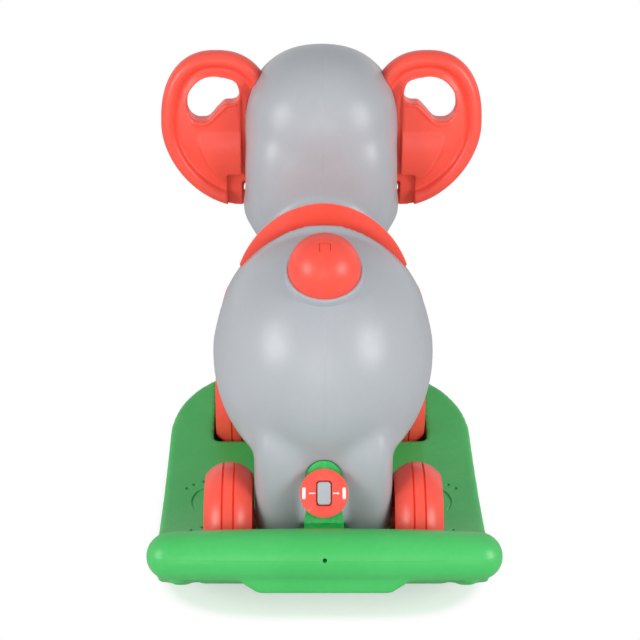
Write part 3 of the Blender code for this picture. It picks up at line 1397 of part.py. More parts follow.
clear_scene()
MATERIALS = make_materials()
make_rocker_base()
make_latch_bracket()
for number, seat in enumerate(bracket_screw_seats(), 1):
    screw_at(f"bracket_screw_{number}", seat - Vector((0, SEAT_GAP, 0)), (0, 1, 0))
make_lock()
make_elephant_body()
make_saddle()
for number, (side, y) in enumerate(SADDLE_SCREWS, 1):
    seat, inward = saddle_screw_seat(side, y)
    screw_at(f"saddle_screw_{number}", seat, inward)
make_tail()
for side, hand in ((1, "left"), (-1, "right")):
    make_ear(side, f"ear_{hand}")
    screw_at(f"ear_screw_{hand}", ear_screw_seats(side), (0, 1, 0), 0.0215)
    make_side_cap(side, f"side_cap_{hand}")
    make_eye(side, (f"eye_white_{hand}", f"eye_pupil_{hand}"))
make_running_gear()
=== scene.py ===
import math

import bmesh
import bpy
from mathutils import Matrix, Vector


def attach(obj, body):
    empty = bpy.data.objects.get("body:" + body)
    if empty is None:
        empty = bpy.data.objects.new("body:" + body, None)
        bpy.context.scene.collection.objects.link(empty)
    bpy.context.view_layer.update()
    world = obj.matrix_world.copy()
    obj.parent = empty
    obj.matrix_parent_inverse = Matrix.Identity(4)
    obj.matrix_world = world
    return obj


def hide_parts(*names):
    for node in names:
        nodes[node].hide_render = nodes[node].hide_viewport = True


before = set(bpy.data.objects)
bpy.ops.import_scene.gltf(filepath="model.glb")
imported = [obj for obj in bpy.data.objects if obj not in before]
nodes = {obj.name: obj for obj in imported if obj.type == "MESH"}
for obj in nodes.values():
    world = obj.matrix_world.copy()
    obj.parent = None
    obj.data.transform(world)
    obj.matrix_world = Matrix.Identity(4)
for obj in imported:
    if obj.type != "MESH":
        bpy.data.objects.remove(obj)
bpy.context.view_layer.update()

# Shared sizes of the toy, in metres. It faces -Y and stands on Z 0.
toy = {
    "seatGap": 0.0003,
    "wheelRadius": 0.057,
    "wheelWidth": 0.046,
    "wheelOuterX": 0.114,
    "axleYs": (-0.130, 0.136),
    "axleZ": 0.085,
    "railY": 0.231,
    "railZ": 0.1055,
    "railRadius": 0.024,
    "latchCentre": (0, 0.184, 0.143),
    "latchLean": math.radians(28),
    "liftTravel": 0.120,
}

seatGap = toy["seatGap"]
wheelSpots = [(side, axleY) for side in (1, -1) for axleY in toy["axleYs"]]
hands = ((1, "Left"), (-1, "Right"))
latchUp = Vector((0, -math.sin(toy["latchLean"]), math.cos(toy["latchLean"])))
latchOut = Vector((0, math.cos(toy["latchLean"]), math.sin(toy["latchLean"])))
latchPlace = Matrix.Translation(Vector(toy["latchCentre"])) @ Matrix(
    (Vector((-1, 0, 0)), latchUp, latchOut)
).transposed().to_4x4()
sideways = Matrix(((0, 0, 1, 0), (1, 0, 0, 0), (0, 1, 0, 0), (0, 0, 0, 1)))  # outline of (y, z), drawn out along X


# ---- camera, floor and light ----

camera = {
    "place": (0.024, 1.612, 0.972),
    "tilt": (math.radians(65.5), 0, math.radians(180)),
    "lens": 98.775,
    "shiftX": 21.6 / 640,
}


def addItem(name, data, place=(0, 0, 0)):
    item = bpy.data.objects.new(name, data)
    item.location = place
    bpy.context.scene.collection.objects.link(item)
    return item


def makeCamera():
    data = bpy.data.cameras.new("camera")
    data.lens = camera["lens"]
    data.sensor_width = 36
    data.shift_x = camera["shiftX"]
    data.clip_end = 60
    item = addItem("camera", data, camera["place"])
    item.rotation_euler = camera["tilt"]
    bpy.context.scene.camera = item


studio = {
    "skyLevel": 0.40,
    # place, diameter and power of each lamp
    "lamps": (
        ((1.60, 1.05, 0.80), 1.0, 21.0),
        ((-1.55, 1.10, 0.80), 1.0, 21.0),
        ((0.25, 2.30, 0.45), 1.6, 10.0),
    ),
    "aim": (0, 0, 0.25),
    "floorRadius": 4.5,
    "floorColour": (0.72, 0.72, 0.72, 1),
    "floorLift": 0.44,
    "fadeCentre": (0.0, -0.035, 0.0),
    "fadeHalf": (0.176, 0.220, 1.0),
    "fadeStart": 0.86,
    "fadeEnd": 1.02,
}


def addNode(tree, kind, feeds=None, **settings):
    # Adds a shader node. feeds gives its inputs, by name or number, a value or a link.
    made = tree.nodes.new("ShaderNode" + kind)
    for label, value in settings.items():
        setattr(made, label, value)
    for socket, value in (feeds or {}).items():
        if isinstance(value, bpy.types.NodeSocket):
            tree.links.new(value, made.inputs[socket])
        else:
            made.inputs[socket].default_value = value
    return made


def makeWorld():
    # White to the camera and in reflections, dimmer as a light.
    world = bpy.data.worlds.new("studio")
    bpy.context.scene.world = world
    world.use_nodes = True
    tree = world.node_tree
    tree.nodes.clear()
    path = addNode(tree, "LightPath").outputs
    seen = mathNode(tree, "MAXIMUM", path["Is Camera Ray"], path["Is Glossy Ray"])
    seen = mathNode(tree, "MAXIMUM", seen, path["Is Transmission Ray"])
    dim = addNode(tree, "Background", {"Color": (1, 1, 1, 1), "Strength": studio["skyLevel"]})
    bright = addNode(tree, "Background", {"Color": (1, 1, 1, 1), "Strength": 1.0})
    either = addNode(tree, "MixShader", {0: seen, 1: dim.outputs[0], 2: bright.outputs[0]})
    addNode(tree, "OutputWorld", {"Surface": either.outputs[0]})


def makeLamps():
    for number, (place, size, power) in enumerate(studio["lamps"], 1):
        data = bpy.data.lights.new(f"softBox{number}", "AREA")
        data.shape = "DISK"
        data.size = size
        data.energy = power
        aim = Vector(studio["aim"]) - Vector(place)
        addItem(f"softBox{number}", data, place).rotation_euler = aim.to_track_quat("-Z", "Y").to_euler()


def makeFloor():
    # Takes the toy's shadow, and runs out into plain white round it.
    bm = bmesh.new()
    bmesh.ops.create_circle(bm, cap_ends=True, segments=96, radius=studio["floorRadius"])
    floor = pieceFrom(bm, "floor")
    material = bpy.data.materials.new("paleFloor")
    material.use_nodes = True
    tree = material.node_tree
    tree.nodes.clear()
    coord = addNode(tree, "TexCoord")
    away = addNode(tree, "VectorMath", {0: coord.outputs["Object"], 1: studio["fadeCentre"]}, operation="SUBTRACT")
    share = addNode(tree, "VectorMath", {0: away.outputs[0], 1: studio["fadeHalf"]}, operation="DIVIDE")
    squared = addNode(tree, "VectorMath", {0: share.outputs[0], 1: share.outputs[0]}, operation="MULTIPLY")
    length = addNode(tree, "VectorMath", {0: squared.outputs[0]}, operation="LENGTH")
    fade = rangeNode(tree, length.outputs["Value"], studio["fadeStart"], studio["fadeEnd"])
    cameraRay = addNode(tree, "LightPath").outputs["Is Camera Ray"]
    matte = addNode(tree, "BsdfDiffuse", {"Color": studio["floorColour"]})
    glow = addNode(tree, "Emission", {"Strength": mathNode(tree, "MULTIPLY", cameraRay, studio["floorLift"])})
    both = addNode(tree, "AddShader", {0: matte.outputs[0], 1: glow.outputs[0]})
    plain = addNode(tree, "Emission", {"Strength": 1.0})
    far = mathNode(tree, "MULTIPLY", fade, cameraRay)
    choose = addNode(tree, "MixShader", {0: far, 1: both.outputs[0], 2: plain.outputs[0]})
    addNode(tree, "OutputMaterial", {"Surface": choose.outputs[0]})
    floor.data.materials.append(material)


def makeStudio():
    bpy.context.scene.view_settings.view_transform = "Standard"
    makeWorld()
    makeLamps()
    makeFloor()
    print("studio made")


# ---- shapes ----


def clamp(value, low=0.0, high=1.0):
    return min(max(value, low), high)


def eased(share):
    share = clamp(share)
    return share * share * (3 - 2 * share)


def mesh(bm, name):
    bmesh.ops.recalc_face_normals(bm, faces=bm.faces)
    made = bpy.data.meshes.new(name)
    bm.to_mesh(made)
    bm.free()
    return made


def pieceFrom(bm, name):
    return addItem(name, mesh(bm, name))


def joined(name, forms):
    bm = bmesh.new()
    for form in forms:
        part = mesh(form, "form")
        bm.from_mesh(part)
        bpy.data.meshes.remove(part)
    return pieceFrom(bm, name)


def freeze(item):
    bpy.context.view_layer.update()
    graph = bpy.context.evaluated_depsgraph_get()
    made = bpy.data.meshes.new_from_object(item.evaluated_get(graph))
    item.modifiers.clear()
    item.data = made


def combine(item, shape, operation, solver):
    other = pieceFrom(shape, "helper") if isinstance(shape, bmesh.types.BMesh) else shape
    step = item.modifiers.new(operation.lower(), "BOOLEAN")
    step.operation = operation
    step.solver = solver
    step.object = other
    freeze(item)
    bpy.data.objects.remove(other, do_unlink=True)


def carve(item, shape, solver="MANIFOLD"):
    combine(item, shape, "DIFFERENCE", solver)


def weld(item, shape, solver="MANIFOLD"):
    combine(item, shape, "UNION", solver)


def skinned(item, voxel, rounds):
    # Runs overlapping forms together into one skin and softens it.
    step = item.modifiers.new("skin", "REMESH")
    step.mode = "VOXEL"
    step.voxel_size = voxel
    step = item.modifiers.new("soften", "SMOOTH")
    step.factor = 0.5
    step.iterations = rounds
    freeze(item)


def rounded(item, width, segments=3, angle=40):
    step = item.modifiers.new("rounded", "BEVEL")
    step.width = width
    step.segments = segments
    step.limit_method = "ANGLE"
    step.angle_limit = math.radians(angle)
    step.harden_normals = False
    freeze(item)


def smoothLook(item, angle):
    item.data.shade_smooth()
    item.data.set_sharp_from_angle(angle=math.radians(angle))


def opened(item):
    bm = bmesh.new()
    bm.from_mesh(item.data)
    return bm


def putBack(bm, item):
    bm.to_mesh(item.data)
    bm.free()


def keepLargest(item):
    # Drops the crumbs that cutting can leave loose.
    bm = opened(item)
    left = set(bm.verts)
    islands = []
    while left:
        island = {left.pop()}
        edge = list(island)
        while edge:
            near = {link.other_vert(vert) for vert in edge for link in vert.link_edges}
            edge = list(near - island)
            island |= near
        left -= island
        islands.append(island)
    islands.sort(key=len)
    crumbs = [vert for island in islands[:-1] for vert in island]
    bmesh.ops.delete(bm, geom=crumbs, context="VERTS")
    putBack(bm, item)


def frameAt(origin, up):
    # Place whose local Z points along up, with local X level.
    z = Vector(up).normalized()
    x = Vector((0, 0, 1)).cross(z)
    x = x.normalized() if x.length > 1e-6 else Vector((1, 0, 0))
    return Matrix.Translation(Vector(origin)) @ Matrix((x, z.cross(x), z)).transposed().to_4x4()


def moved(bm, place):
    bmesh.ops.transform(bm, matrix=place, verts=bm.verts)
    return bm


def turned(profile, place, segments=72):
    # Spins a closed outline of (radius, height) points round local Z.
    bm = bmesh.new()
    ring = [bm.verts.new((radius, 0, height)) for radius, height in profile]
    edges = [bm.edges.new((a, b)) for a, b in zip(ring, ring[1:] + ring[:1])]
    bmesh.ops.spin(
        bm, geom=ring + edges, cent=(0, 0, 0), axis=(0, 0, 1), angle=math.tau, steps=segments, use_merge=True
    )
    bmesh.ops.remove_doubles(bm, verts=bm.verts, dist=1e-6)
    bmesh.ops.dissolve_degenerate(bm, edges=bm.edges, dist=1e-7)
    return moved(bm, place)


def rod(start, end, radius, segments=32, endRadius=None):
    start = Vector(start)
    end = Vector(end)
    bm = bmesh.new()
    bmesh.ops.create_cone(
        bm, cap_ends=True, segments=segments, radius1=radius,
        radius2=radius if endRadius is None else endRadius, depth=(end - start).length,
    )
    return moved(bm, frameAt((start + end) / 2, end - start))


def block(low, high):
    bm = bmesh.new()
    bmesh.ops.create_cube(bm, size=1.0)
    bmesh.ops.scale(bm, vec=Vector(high) - Vector(low), verts=bm.verts)
    bmesh.ops.translate(bm, vec=(Vector(low) + Vector(high)) / 2, verts=bm.verts)
    return bm


def drawUp(bm, rise):
    made = bmesh.ops.extrude_face_region(bm, geom=bm.faces[:])
    top = [part for part in made["geom"] if isinstance(part, bmesh.types.BMVert)]
    bmesh.ops.translate(bm, vec=(0, 0, rise), verts=top)


def prism(outline, low, high, place=Matrix.Identity(4)):
    bm = bmesh.new()
    bm.faces.new([bm.verts.new((x, y, low)) for x, y in outline])
    drawUp(bm, high - low)
    return moved(bm, place)


def mappedBlock(across, along, place):
    # A thick grid, each corner put where place(u, v, w) says, with u, v, w in 0 to 1.
    bm = bmesh.new()
    bmesh.ops.create_grid(bm, x_segments=across, y_segments=along, size=0.5)
    drawUp(bm, 1)
    for vert in bm.verts:
        vert.co = place(vert.co.x + 0.5, vert.co.y + 0.5, vert.co.z)
    return bm


def roundedForm(centre, semi, power=2.0, detail=5):
    bm = bmesh.new()
    bmesh.ops.create_icosphere(bm, subdivisions=detail, radius=1.0)
    for vert in bm.verts:
        unit = vert.co / sum(abs(part) ** power for part in vert.co) ** (1.0 / power)
        vert.co = Vector(centre) + Vector(unit[i] * semi[i] for i in range(3))
    return bm


def roundedRectangle(halfWidth, halfHeight, radius, steps=6):
    points = []
    for quarter, (sx, sy) in enumerate(((1, 1), (-1, 1), (-1, -1), (1, -1))):
        for k in range(steps + 1):
            angle = (quarter + k / steps) * math.pi / 2
            points.append((sx * (halfWidth - radius) + radius * math.cos(angle),
                           sy * (halfHeight - radius) + radius * math.sin(angle)))
    return points


def spaced(start, end, steps):
    return [start + (end - start) * k / steps for k in range(steps + 1)]


def arcPoints(middle, semi, start, end, steps):
    return [(middle[0] + semi[0] * math.cos(angle), middle[1] + semi[1] * math.sin(angle))
            for angle in spaced(start, end, steps)]


def oval(halfWidth, halfHeight, steps=48):
    return arcPoints((0, 0), (halfWidth, halfHeight), 0, math.tau, steps)[:-1]


def loft(rings):
    # Joins rings of points one to the next, and closes both ends.
    bm = bmesh.new()
    rings = [[bm.verts.new(point) for point in ring] for ring in rings]
    for near, far in zip(rings, rings[1:]):
        for k in range(len(near)):
            bm.faces.new((near[k - 1], near[k], far[k], far[k - 1]))
    for ring in (rings[0], rings[-1]):
        bm.faces.new(ring)
    return bm


def smoothPath(points, steps, closed=False):
    # Points on the smooth curve through the given ones.
    count = len(points)
    found = []
    for i in range(count if closed else count - 1):
        places = [(i + k) % count if closed else int(clamp(i + k, 0, count - 1)) for k in (-1, 0, 1, 2)]
        near = [points[place] for place in places]
        before, start, end, after = (Vector(point) for point in near)
        for step in range(steps):
            t = step / steps
            found.append(0.5 * (2 * start + (end - before) * t + (2 * before - 5 * start + 4 * end - after) * t**2
                                + (3 * start - before - 3 * end + after) * t**3))
    if not closed:
        found.append(Vector(points[-1]))
    return found


def ridgeAt(item, normalAxis, at, halfWidth, height, chosen):
    # Raises a fine parting line where the two mould halves met.
    bm = opened(item)
    axis = Vector([1.0 if k == normalAxis else 0.0 for k in range(3)])
    for offset in (-halfWidth, 0, halfWidth):
        everything = bm.verts[:] + bm.edges[:] + bm.faces[:]
        bmesh.ops.bisect_plane(bm, geom=everything, dist=1e-6, plane_co=axis * (at + offset), plane_no=axis)
    bm.normal_update()
    for vert in bm.verts:
        if abs(vert.co[normalAxis] - at) < halfWidth * 0.2 and chosen(vert.co):
            vert.co += vert.normal * height
    putBack(bm, item)


def settle(item, body, look, *replaced, angle=38):
    smoothLook(item, angle)
    item.data.materials.clear()
    item.data.materials.append(looks[look])
    if replaced:
        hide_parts(*replaced)
    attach(item, body)
    print(item.name, len(item.data.polygons), "faces")
    return item


# ---- finishes ----


def newGroup(name, given, *wanted):
    tree = bpy.data.node_groups.new(name, "ShaderNodeTree")

    def addSocket(label, way):
        kind = "NodeSocketColor" if label in ("Colour", "Deeper") else "NodeSocketFloat"
        return tree.interface.new_socket(name=label, in_out=way, socket_type=kind)

    for label, value in given.items():
        addSocket(label, "INPUT").default_value = value
    for label in wanted:
        addSocket(label, "OUTPUT")
    return tree, tree.nodes.new("NodeGroupInput").outputs, tree.nodes.new("NodeGroupOutput").inputs


def noiseNode(tree, scale, detail, roughness=0.5, vector=None):
    vector = vector or addNode(tree, "TexCoord").outputs["Object"]
    feeds = {"Vector": vector, "Scale": scale, "Detail": detail, "Roughness": roughness}
    return addNode(tree, "TexNoise", feeds).outputs[0]


def mathNode(tree, operation, first, second):
    return addNode(tree, "Math", {0: first, 1: second}, operation=operation).outputs[0]


def rangeNode(tree, value, low, high, toLow=0.0, toHigh=1.0):
    feeds = {"Value": value, "From Min": low, "From Max": high, "To Min": toLow, "To Max": toHigh}
    return addNode(tree, "MapRange", feeds, interpolation_type="SMOOTHSTEP").outputs[0]


def mixColour(tree, share, first, second):
    return addNode(tree, "Mix", {0: share, 6: first, 7: second}, data_type="RGBA").outputs[2]


def bumpNode(tree, height, strength, distance):
    feeds = {"Height": height, "Strength": strength, "Distance": distance}
    return addNode(tree, "Bump", feeds).outputs["Normal"]


def makeMouldGrain():
    # Fine skin of the mould over the slow waves that blown walls shrink into.
    usual = {"Grain Scale": 900.0, "Grain Depth": 0.2, "Wave Scale": 30.0, "Wave Depth": 1.0}
    tree, given, out = newGroup("mouldGrain", usual, "Height")
    fine = mathNode(tree, "MULTIPLY", noiseNode(tree, given["Grain Scale"], 2.0), given["Grain Depth"])
    slow = mathNode(tree, "MULTIPLY", noiseNode(tree, given["Wave Scale"], 1.0), given["Wave Depth"])
    tree.links.new(mathNode(tree, "ADD", fine, slow), out["Height"])
    return tree


def makeToneDrift():
    # Two close shades that wander into each other, with finer mottling inside.
    usual = {"Colour": (0.5, 0.5, 0.5, 1), "Deeper": (0.4, 0.4, 0.4, 1), "Scale": 12.0, "Share": 0.6}
    tree, given, out = newGroup("toneDrift", usual, "Colour", "Mask")
    broad = noiseNode(tree, given["Scale"], 3.0)
    mottle = noiseNode(tree, mathNode(tree, "MULTIPLY", given["Scale"], 14.0), 2.0)
    both = mathNode(tree, "ADD", mathNode(tree, "MULTIPLY", broad, 0.75), mathNode(tree, "MULTIPLY", mottle, 0.25))
    mask = rangeNode(tree, both, 0.38, 0.62)
    share = mathNode(tree, "MULTIPLY", mask, given["Share"])
    tree.links.new(mixColour(tree, share, given["Colour"], given["Deeper"]), out["Colour"])
    tree.links.new(mask, out["Mask"])
    return tree


def makeEdgeScuff():
    # Where play has rubbed the outer edges, broken up by noise.
    tree, given, out = newGroup("edgeScuff", {"Amount": 0.5, "Breakup Scale": 160.0}, "Mask")
    edge = rangeNode(tree, addNode(tree, "NewGeometry").outputs["Pointiness"], 0.53, 0.60)
    broken = rangeNode(tree, noiseNode(tree, given["Breakup Scale"], 4.0, 0.65), 0.44, 0.66)
    mask = mathNode(tree, "MULTIPLY", mathNode(tree, "MULTIPLY", edge, broken), given["Amount"])
    tree.links.new(mask, out["Mask"])
    return tree


def makeRubMarks():
    # Faint long scratches, stretched along the toy, for the gloss only.
    tree, given, out = newGroup("rubMarks", {"Scale": 60.0, "Amount": 0.1}, "Mask")
    feeds = {"Vector": addNode(tree, "TexCoord").outputs["Object"], "Rotation": (0.3, 0.2, 0.5),
             "Scale": (1.0, 0.07, 0.5)}
    stretch = addNode(tree, "Mapping", feeds).outputs[0]
    lines = rangeNode(tree, noiseNode(tree, given["Scale"], 5.0, 0.7, stretch), 0.56, 0.72)
    tree.links.new(mathNode(tree, "MULTIPLY", lines, given["Amount"]), out["Mask"])
    return tree


finishes = {
    # colour, deeper shade, rubbed shade, roughness, grain depth, wave depth, scuff amount
    "greyShell": ((0.415, 0.438, 0.468), (0.388, 0.412, 0.444), (0.55, 0.57, 0.60), 0.34, 0.10, 0.9, 0.30),
    "redPanel": ((0.940, 0.092, 0.058), (0.905, 0.070, 0.044), (0.95, 0.22, 0.17), 0.34, 0.10, 0.7, 0.40),
    "greenShell": ((0.060, 0.505, 0.118), (0.044, 0.452, 0.096), (0.24, 0.62, 0.28), 0.38, 0.12, 0.9, 0.45),
    "deepGreenPlate": ((0.016, 0.460, 0.082), (0.010, 0.390, 0.064), (0.14, 0.55, 0.20), 0.36, 0.10, 0.4, 0.35),
    "whiteCap": ((0.800, 0.800, 0.785), (0.760, 0.760, 0.740), (0.86, 0.86, 0.85), 0.30, 0.06, 0.4, 0.20),
    "whiteInlay": ((0.860, 0.860, 0.850), (0.820, 0.820, 0.800), (0.88, 0.88, 0.87), 0.40, 0.10, 0.2, 0.20),
    "blackPupil": ((0.012, 0.012, 0.014), (0.008, 0.008, 0.010), (0.05, 0.05, 0.05), 0.18, 0.05, 0.3, 0.20),
    "greyButton": ((0.440, 0.462, 0.490), (0.405, 0.428, 0.455), (0.56, 0.57, 0.59), 0.38, 0.12, 0.3, 0.30),
    "nylonBush": ((0.700, 0.695, 0.665), (0.650, 0.640, 0.600), (0.78, 0.78, 0.76), 0.46, 0.15, 0.3, 0.20),
}


def newMaterial(name):
    material = bpy.data.materials.new(name)
    material.use_nodes = True
    tree = material.node_tree
    return material, tree, tree.nodes["Principled BSDF"]


def groupNode(tree, name, feeds=None):
    made = addNode(tree, "Group", node_tree=groups[name])
    for label, value in (feeds or {}).items():
        made.inputs[label].default_value = value
    return made.outputs


def makePlastic(name):
    colour, deeper, rubbed, roughness, grainDepth, waveDepth, scuff = finishes[name]
    material, tree, shader = newMaterial(name)
    drift = groupNode(tree, "toneDrift", {"Colour": (*colour, 1), "Deeper": (*deeper, 1)})
    edge = groupNode(tree, "edgeScuff", {"Amount": scuff})
    rub = groupNode(tree, "rubMarks")
    tree.links.new(mixColour(tree, edge["Mask"], drift["Colour"], (*rubbed, 1)), shader.inputs["Base Color"])
    worn = mathNode(tree, "ADD", mathNode(tree, "MULTIPLY", edge["Mask"], 0.25), rub["Mask"])
    gloss = rangeNode(tree, drift["Mask"], 0.0, 1.0, roughness - 0.02, roughness + 0.03)
    tree.links.new(mathNode(tree, "ADD", gloss, worn), shader.inputs["Roughness"])
    grain = groupNode(tree, "mouldGrain", {"Grain Depth": grainDepth, "Wave Depth": waveDepth})
    tree.links.new(bumpNode(tree, grain["Height"], 1.0, 0.00015), shader.inputs["Normal"])
    shader.inputs["Specular IOR Level"].default_value = 0.42
    return material


def makeSteel():
    # Bright zinc plating with a faint drawn grain and a little tarnish.
    material, tree, shader = newMaterial("zincSteel")
    shader.inputs["Metallic"].default_value = 1.0
    shades = {"Colour": (0.56, 0.57, 0.58, 1), "Deeper": (0.44, 0.43, 0.41, 1), "Scale": 140.0}
    drift = groupNode(tree, "toneDrift", shades)
    tree.links.new(drift["Colour"], shader.inputs["Base Color"])
    tree.links.new(rangeNode(tree, drift["Mask"], 0.0, 1.0, 0.24, 0.42), shader.inputs["Roughness"])
    rub = groupNode(tree, "rubMarks", {"Scale": 900.0, "Amount": 1.0})
    tree.links.new(bumpNode(tree, rub["Mask"], 0.6, 0.00006), shader.inputs["Normal"])
    return material


groups = {"mouldGrain": makeMouldGrain(), "toneDrift": makeToneDrift(), "edgeScuff": makeEdgeScuff(),
          "rubMarks": makeRubMarks()}
looks = {name: makePlastic(name) for name in finishes}
looks["zincSteel"] = makeSteel()
print("finishes made")
makeCamera()
makeStudio()


# ---- rocker base ----

rocker = {
    "halfWidth": 0.1645, "frontY": -0.2020, "rearY": 0.226,
    "cornerAcross": 0.090, "cornerAlong": 0.105,
    "tuck": 0.010, "tuckStartY": 0.130, "tuckRiseY": 0.190,
    "lowY": 0.061, "lowZ": 0.047, "frontCurve": 1.0, "rearCurve": 0.365,
    "rampStartY": 0.192, "rampEndY": 0.213, "rampEndZ": 0.104,
    "underRadius": 0.445, "endRadius": 0.220, "endReach": 0.145, "centreY": 0.003, "flat": 0.070,
    "runnerX": 0.136, "runnerWidth": 0.014, "runnerDrop": 0.006, "runnerYs": (-0.148, 0.214),
    "runnerRise": 0.0032, "runnerRiseY": 0.13, "runnerRiseLength": 0.07, "runnerSunk": 0.0024,
    "edgeRound": 0.0075,
    "railHalfLength": 0.1645, "railEndRadius": 0.0222, "railDroop": 0.0018,
    "stopHalf": (0.0630, 0.0755), "stopYs": (0.206, 0.2495), "stopBottomZ": 0.0734, "stopFlare": 0.0115,
    "stopTopShare": 0.35,
    "wellClearance": 0.0016, "wellSide": 0.003, "wellWall": 0.0026, "wellCorner": 0.0075, "podTopZ": 0.048,
    "blowHole": 0.0022, "blowHoleRise": 0.0074,
    "seamRise": 0.0068, "seamHalf": 0.0006, "seamHeight": 0.00022, "softRounds": 10,
    "voxel": 0.0023,
}


def floorZ(y):
    curve = rocker["frontCurve"] if y < rocker["lowY"] else rocker["rearCurve"]
    height = rocker["lowZ"] + (y - rocker["lowY"]) ** 2 / (2 * curve)
    ramp = clamp((y - rocker["rampStartY"]) / (rocker["rampEndY"] - rocker["rampStartY"]))
    return height + (rocker["rampEndZ"] - height) * ramp


def rockerZ(y):
    along = abs(y - rocker["centreY"])
    radius = rocker["underRadius"]
    reach = math.sqrt(radius**2 - (rocker["flat"] / 2) ** 2)
    if along <= rocker["endReach"]:
        return max(reach - math.sqrt(radius**2 - along**2), 0)
    share = 1 - rocker["endRadius"] / radius
    centreZ = reach - math.sqrt(radius**2 - rocker["endReach"] ** 2) * share
    return centreZ - math.sqrt(max(rocker["endRadius"] ** 2 - (along - rocker["endReach"] * share) ** 2, 0))


def rockerHalfWidth(y):
    along = clamp((rocker["frontY"] + rocker["cornerAlong"] - y) / rocker["cornerAlong"])
    tuck = rocker["tuck"] * eased((y - rocker["tuckStartY"]) / (rocker["rearY"] - rocker["tuckStartY"]))
    return rocker["halfWidth"] - tuck - rocker["cornerAcross"] * (1 - math.sqrt(1 - along**2))


def trayPlace(u, v, w):
    cornerShare = 0.32
    if v < cornerShare:
        y = rocker["frontY"] + rocker["cornerAlong"] * (1 - math.cos(v / cornerShare * math.pi / 2))
    else:
        start = rocker["frontY"] + rocker["cornerAlong"]
        y = start + (rocker["rearY"] - start) * (v - cornerShare) / (1 - cornerShare)
    x = (2 * u - 1) * rockerHalfWidth(y)
    rise = rocker["tuck"] * eased((y - rocker["tuckRiseY"]) / (rocker["rearY"] - rocker["tuckRiseY"]))
    low = rockerZ(y) + rocker["runnerDrop"] + rise
    return Vector((x, y, low + (floorZ(y) - low) * w))


def railForm():
    # A little thinner and lower towards its rounded ends.
    radius = toy["railRadius"]
    endRadius = rocker["railEndRadius"]
    half = rocker["railHalfLength"]
    straight = half - endRadius
    end = [(radius + (endRadius - radius) * (k / 12) ** 2, straight * k / 12) for k in range(1, 12)]
    end += arcPoints((0, straight), (endRadius, endRadius), 0, math.pi / 2, 8)
    start = [(r, -h) for r, h in reversed(end)]
    bm = turned(start + [(radius, 0)] + end, frameAt((0, toy["railY"], toy["railZ"]), (1, 0, 0)), 64)
    for vert in bm.verts:
        vert.co.z -= rocker["railDroop"] * (vert.co.x / half) ** 2
    return bm


def runnerForm(side):
    front, rear = rocker["runnerYs"]
    stations = spaced(front, rear, 60)
    rise = rocker["runnerRise"]
    length = rocker["runnerRiseLength"]
    sunk = rocker["runnerDrop"] + rocker["runnerSunk"]
    outline = [(y, rockerZ(y) + rise * eased((y - rocker["runnerRiseY"]) / length)) for y in stations]
    outline += [(y, rockerZ(y) + sunk) for y in reversed(stations)]
    half = rocker["runnerWidth"] / 2
    return prism(outline, -half, half, Matrix.Translation((side * rocker["runnerX"], 0, 0)) @ sideways)


def stopForm():
    low, high = rocker["stopHalf"]
    top = toy["railZ"] - toy["railRadius"] * rocker["stopTopShare"]
    bottom = rocker["stopBottomZ"]
    flare = rocker["stopFlare"]
    curve = [(low + (high - low) * eased(k / 12), bottom + flare * k / 12) for k in range(13)]
    outline = [(-low, bottom)] + curve + [(high, top)]
    outline += [(-x, height) for x, height in reversed(curve[1:] + [(high, top)])]
    stand = Matrix(((1, 0, 0, 0), (0, 0, -1, 0), (0, 1, 0, 0), (0, 0, 0, 1)))
    return prism(outline, -rocker["stopYs"][1], -rocker["stopYs"][0], stand)


def wheelSpan(side, spare):
    # From where to where a wheel reaches along X, with room to spare on both sides.
    inner = toy["wheelOuterX"] - toy["wheelWidth"] - spare
    outer = toy["wheelOuterX"] + spare
    return (inner, outer) if side > 0 else (-outer, -inner)


def wellForm(side, axleY):
    # Where a wheel stands, drawn out along the way the elephant lifts off, with rounded corners.
    radius = toy["wheelRadius"] + rocker["wellClearance"]
    lift = Vector((latchUp.y, latchUp.z)) * toy["liftTravel"]
    across = math.atan2(lift.y, lift.x) - math.pi / 2
    arc = [Vector(point) for point in arcPoints((0, 0), (radius, radius), across, across - math.pi, 36)]
    centre = Vector((axleY, toy["axleZ"]))
    outline = [centre + point for point in arc] + [centre + lift + arc[-1], centre + lift + arc[0]]
    bm = prism(outline, *wheelSpan(side, rocker["wellSide"]), sideways)
    rims = [edge for edge in bm.edges if abs(edge.verts[0].co.x - edge.verts[1].co.x) < 1e-6]
    bmesh.ops.bevel(bm, geom=rims, offset=rocker["wellCorner"], affect="EDGES", segments=5, profile=0.5, material=-1)
    return bm


def podForm(side, axleY):
    radius = toy["wheelRadius"] + rocker["wellClearance"] + rocker["wellWall"]
    edge = math.asin((toy["axleZ"] - rocker["podTopZ"]) / radius)
    span = math.pi - 2 * edge
    outline = arcPoints((axleY, toy["axleZ"]), (radius, radius), -edge, -edge - span, 36)
    return prism(outline, *wheelSpan(side, rocker["wellSide"] + rocker["wellWall"]), sideways)


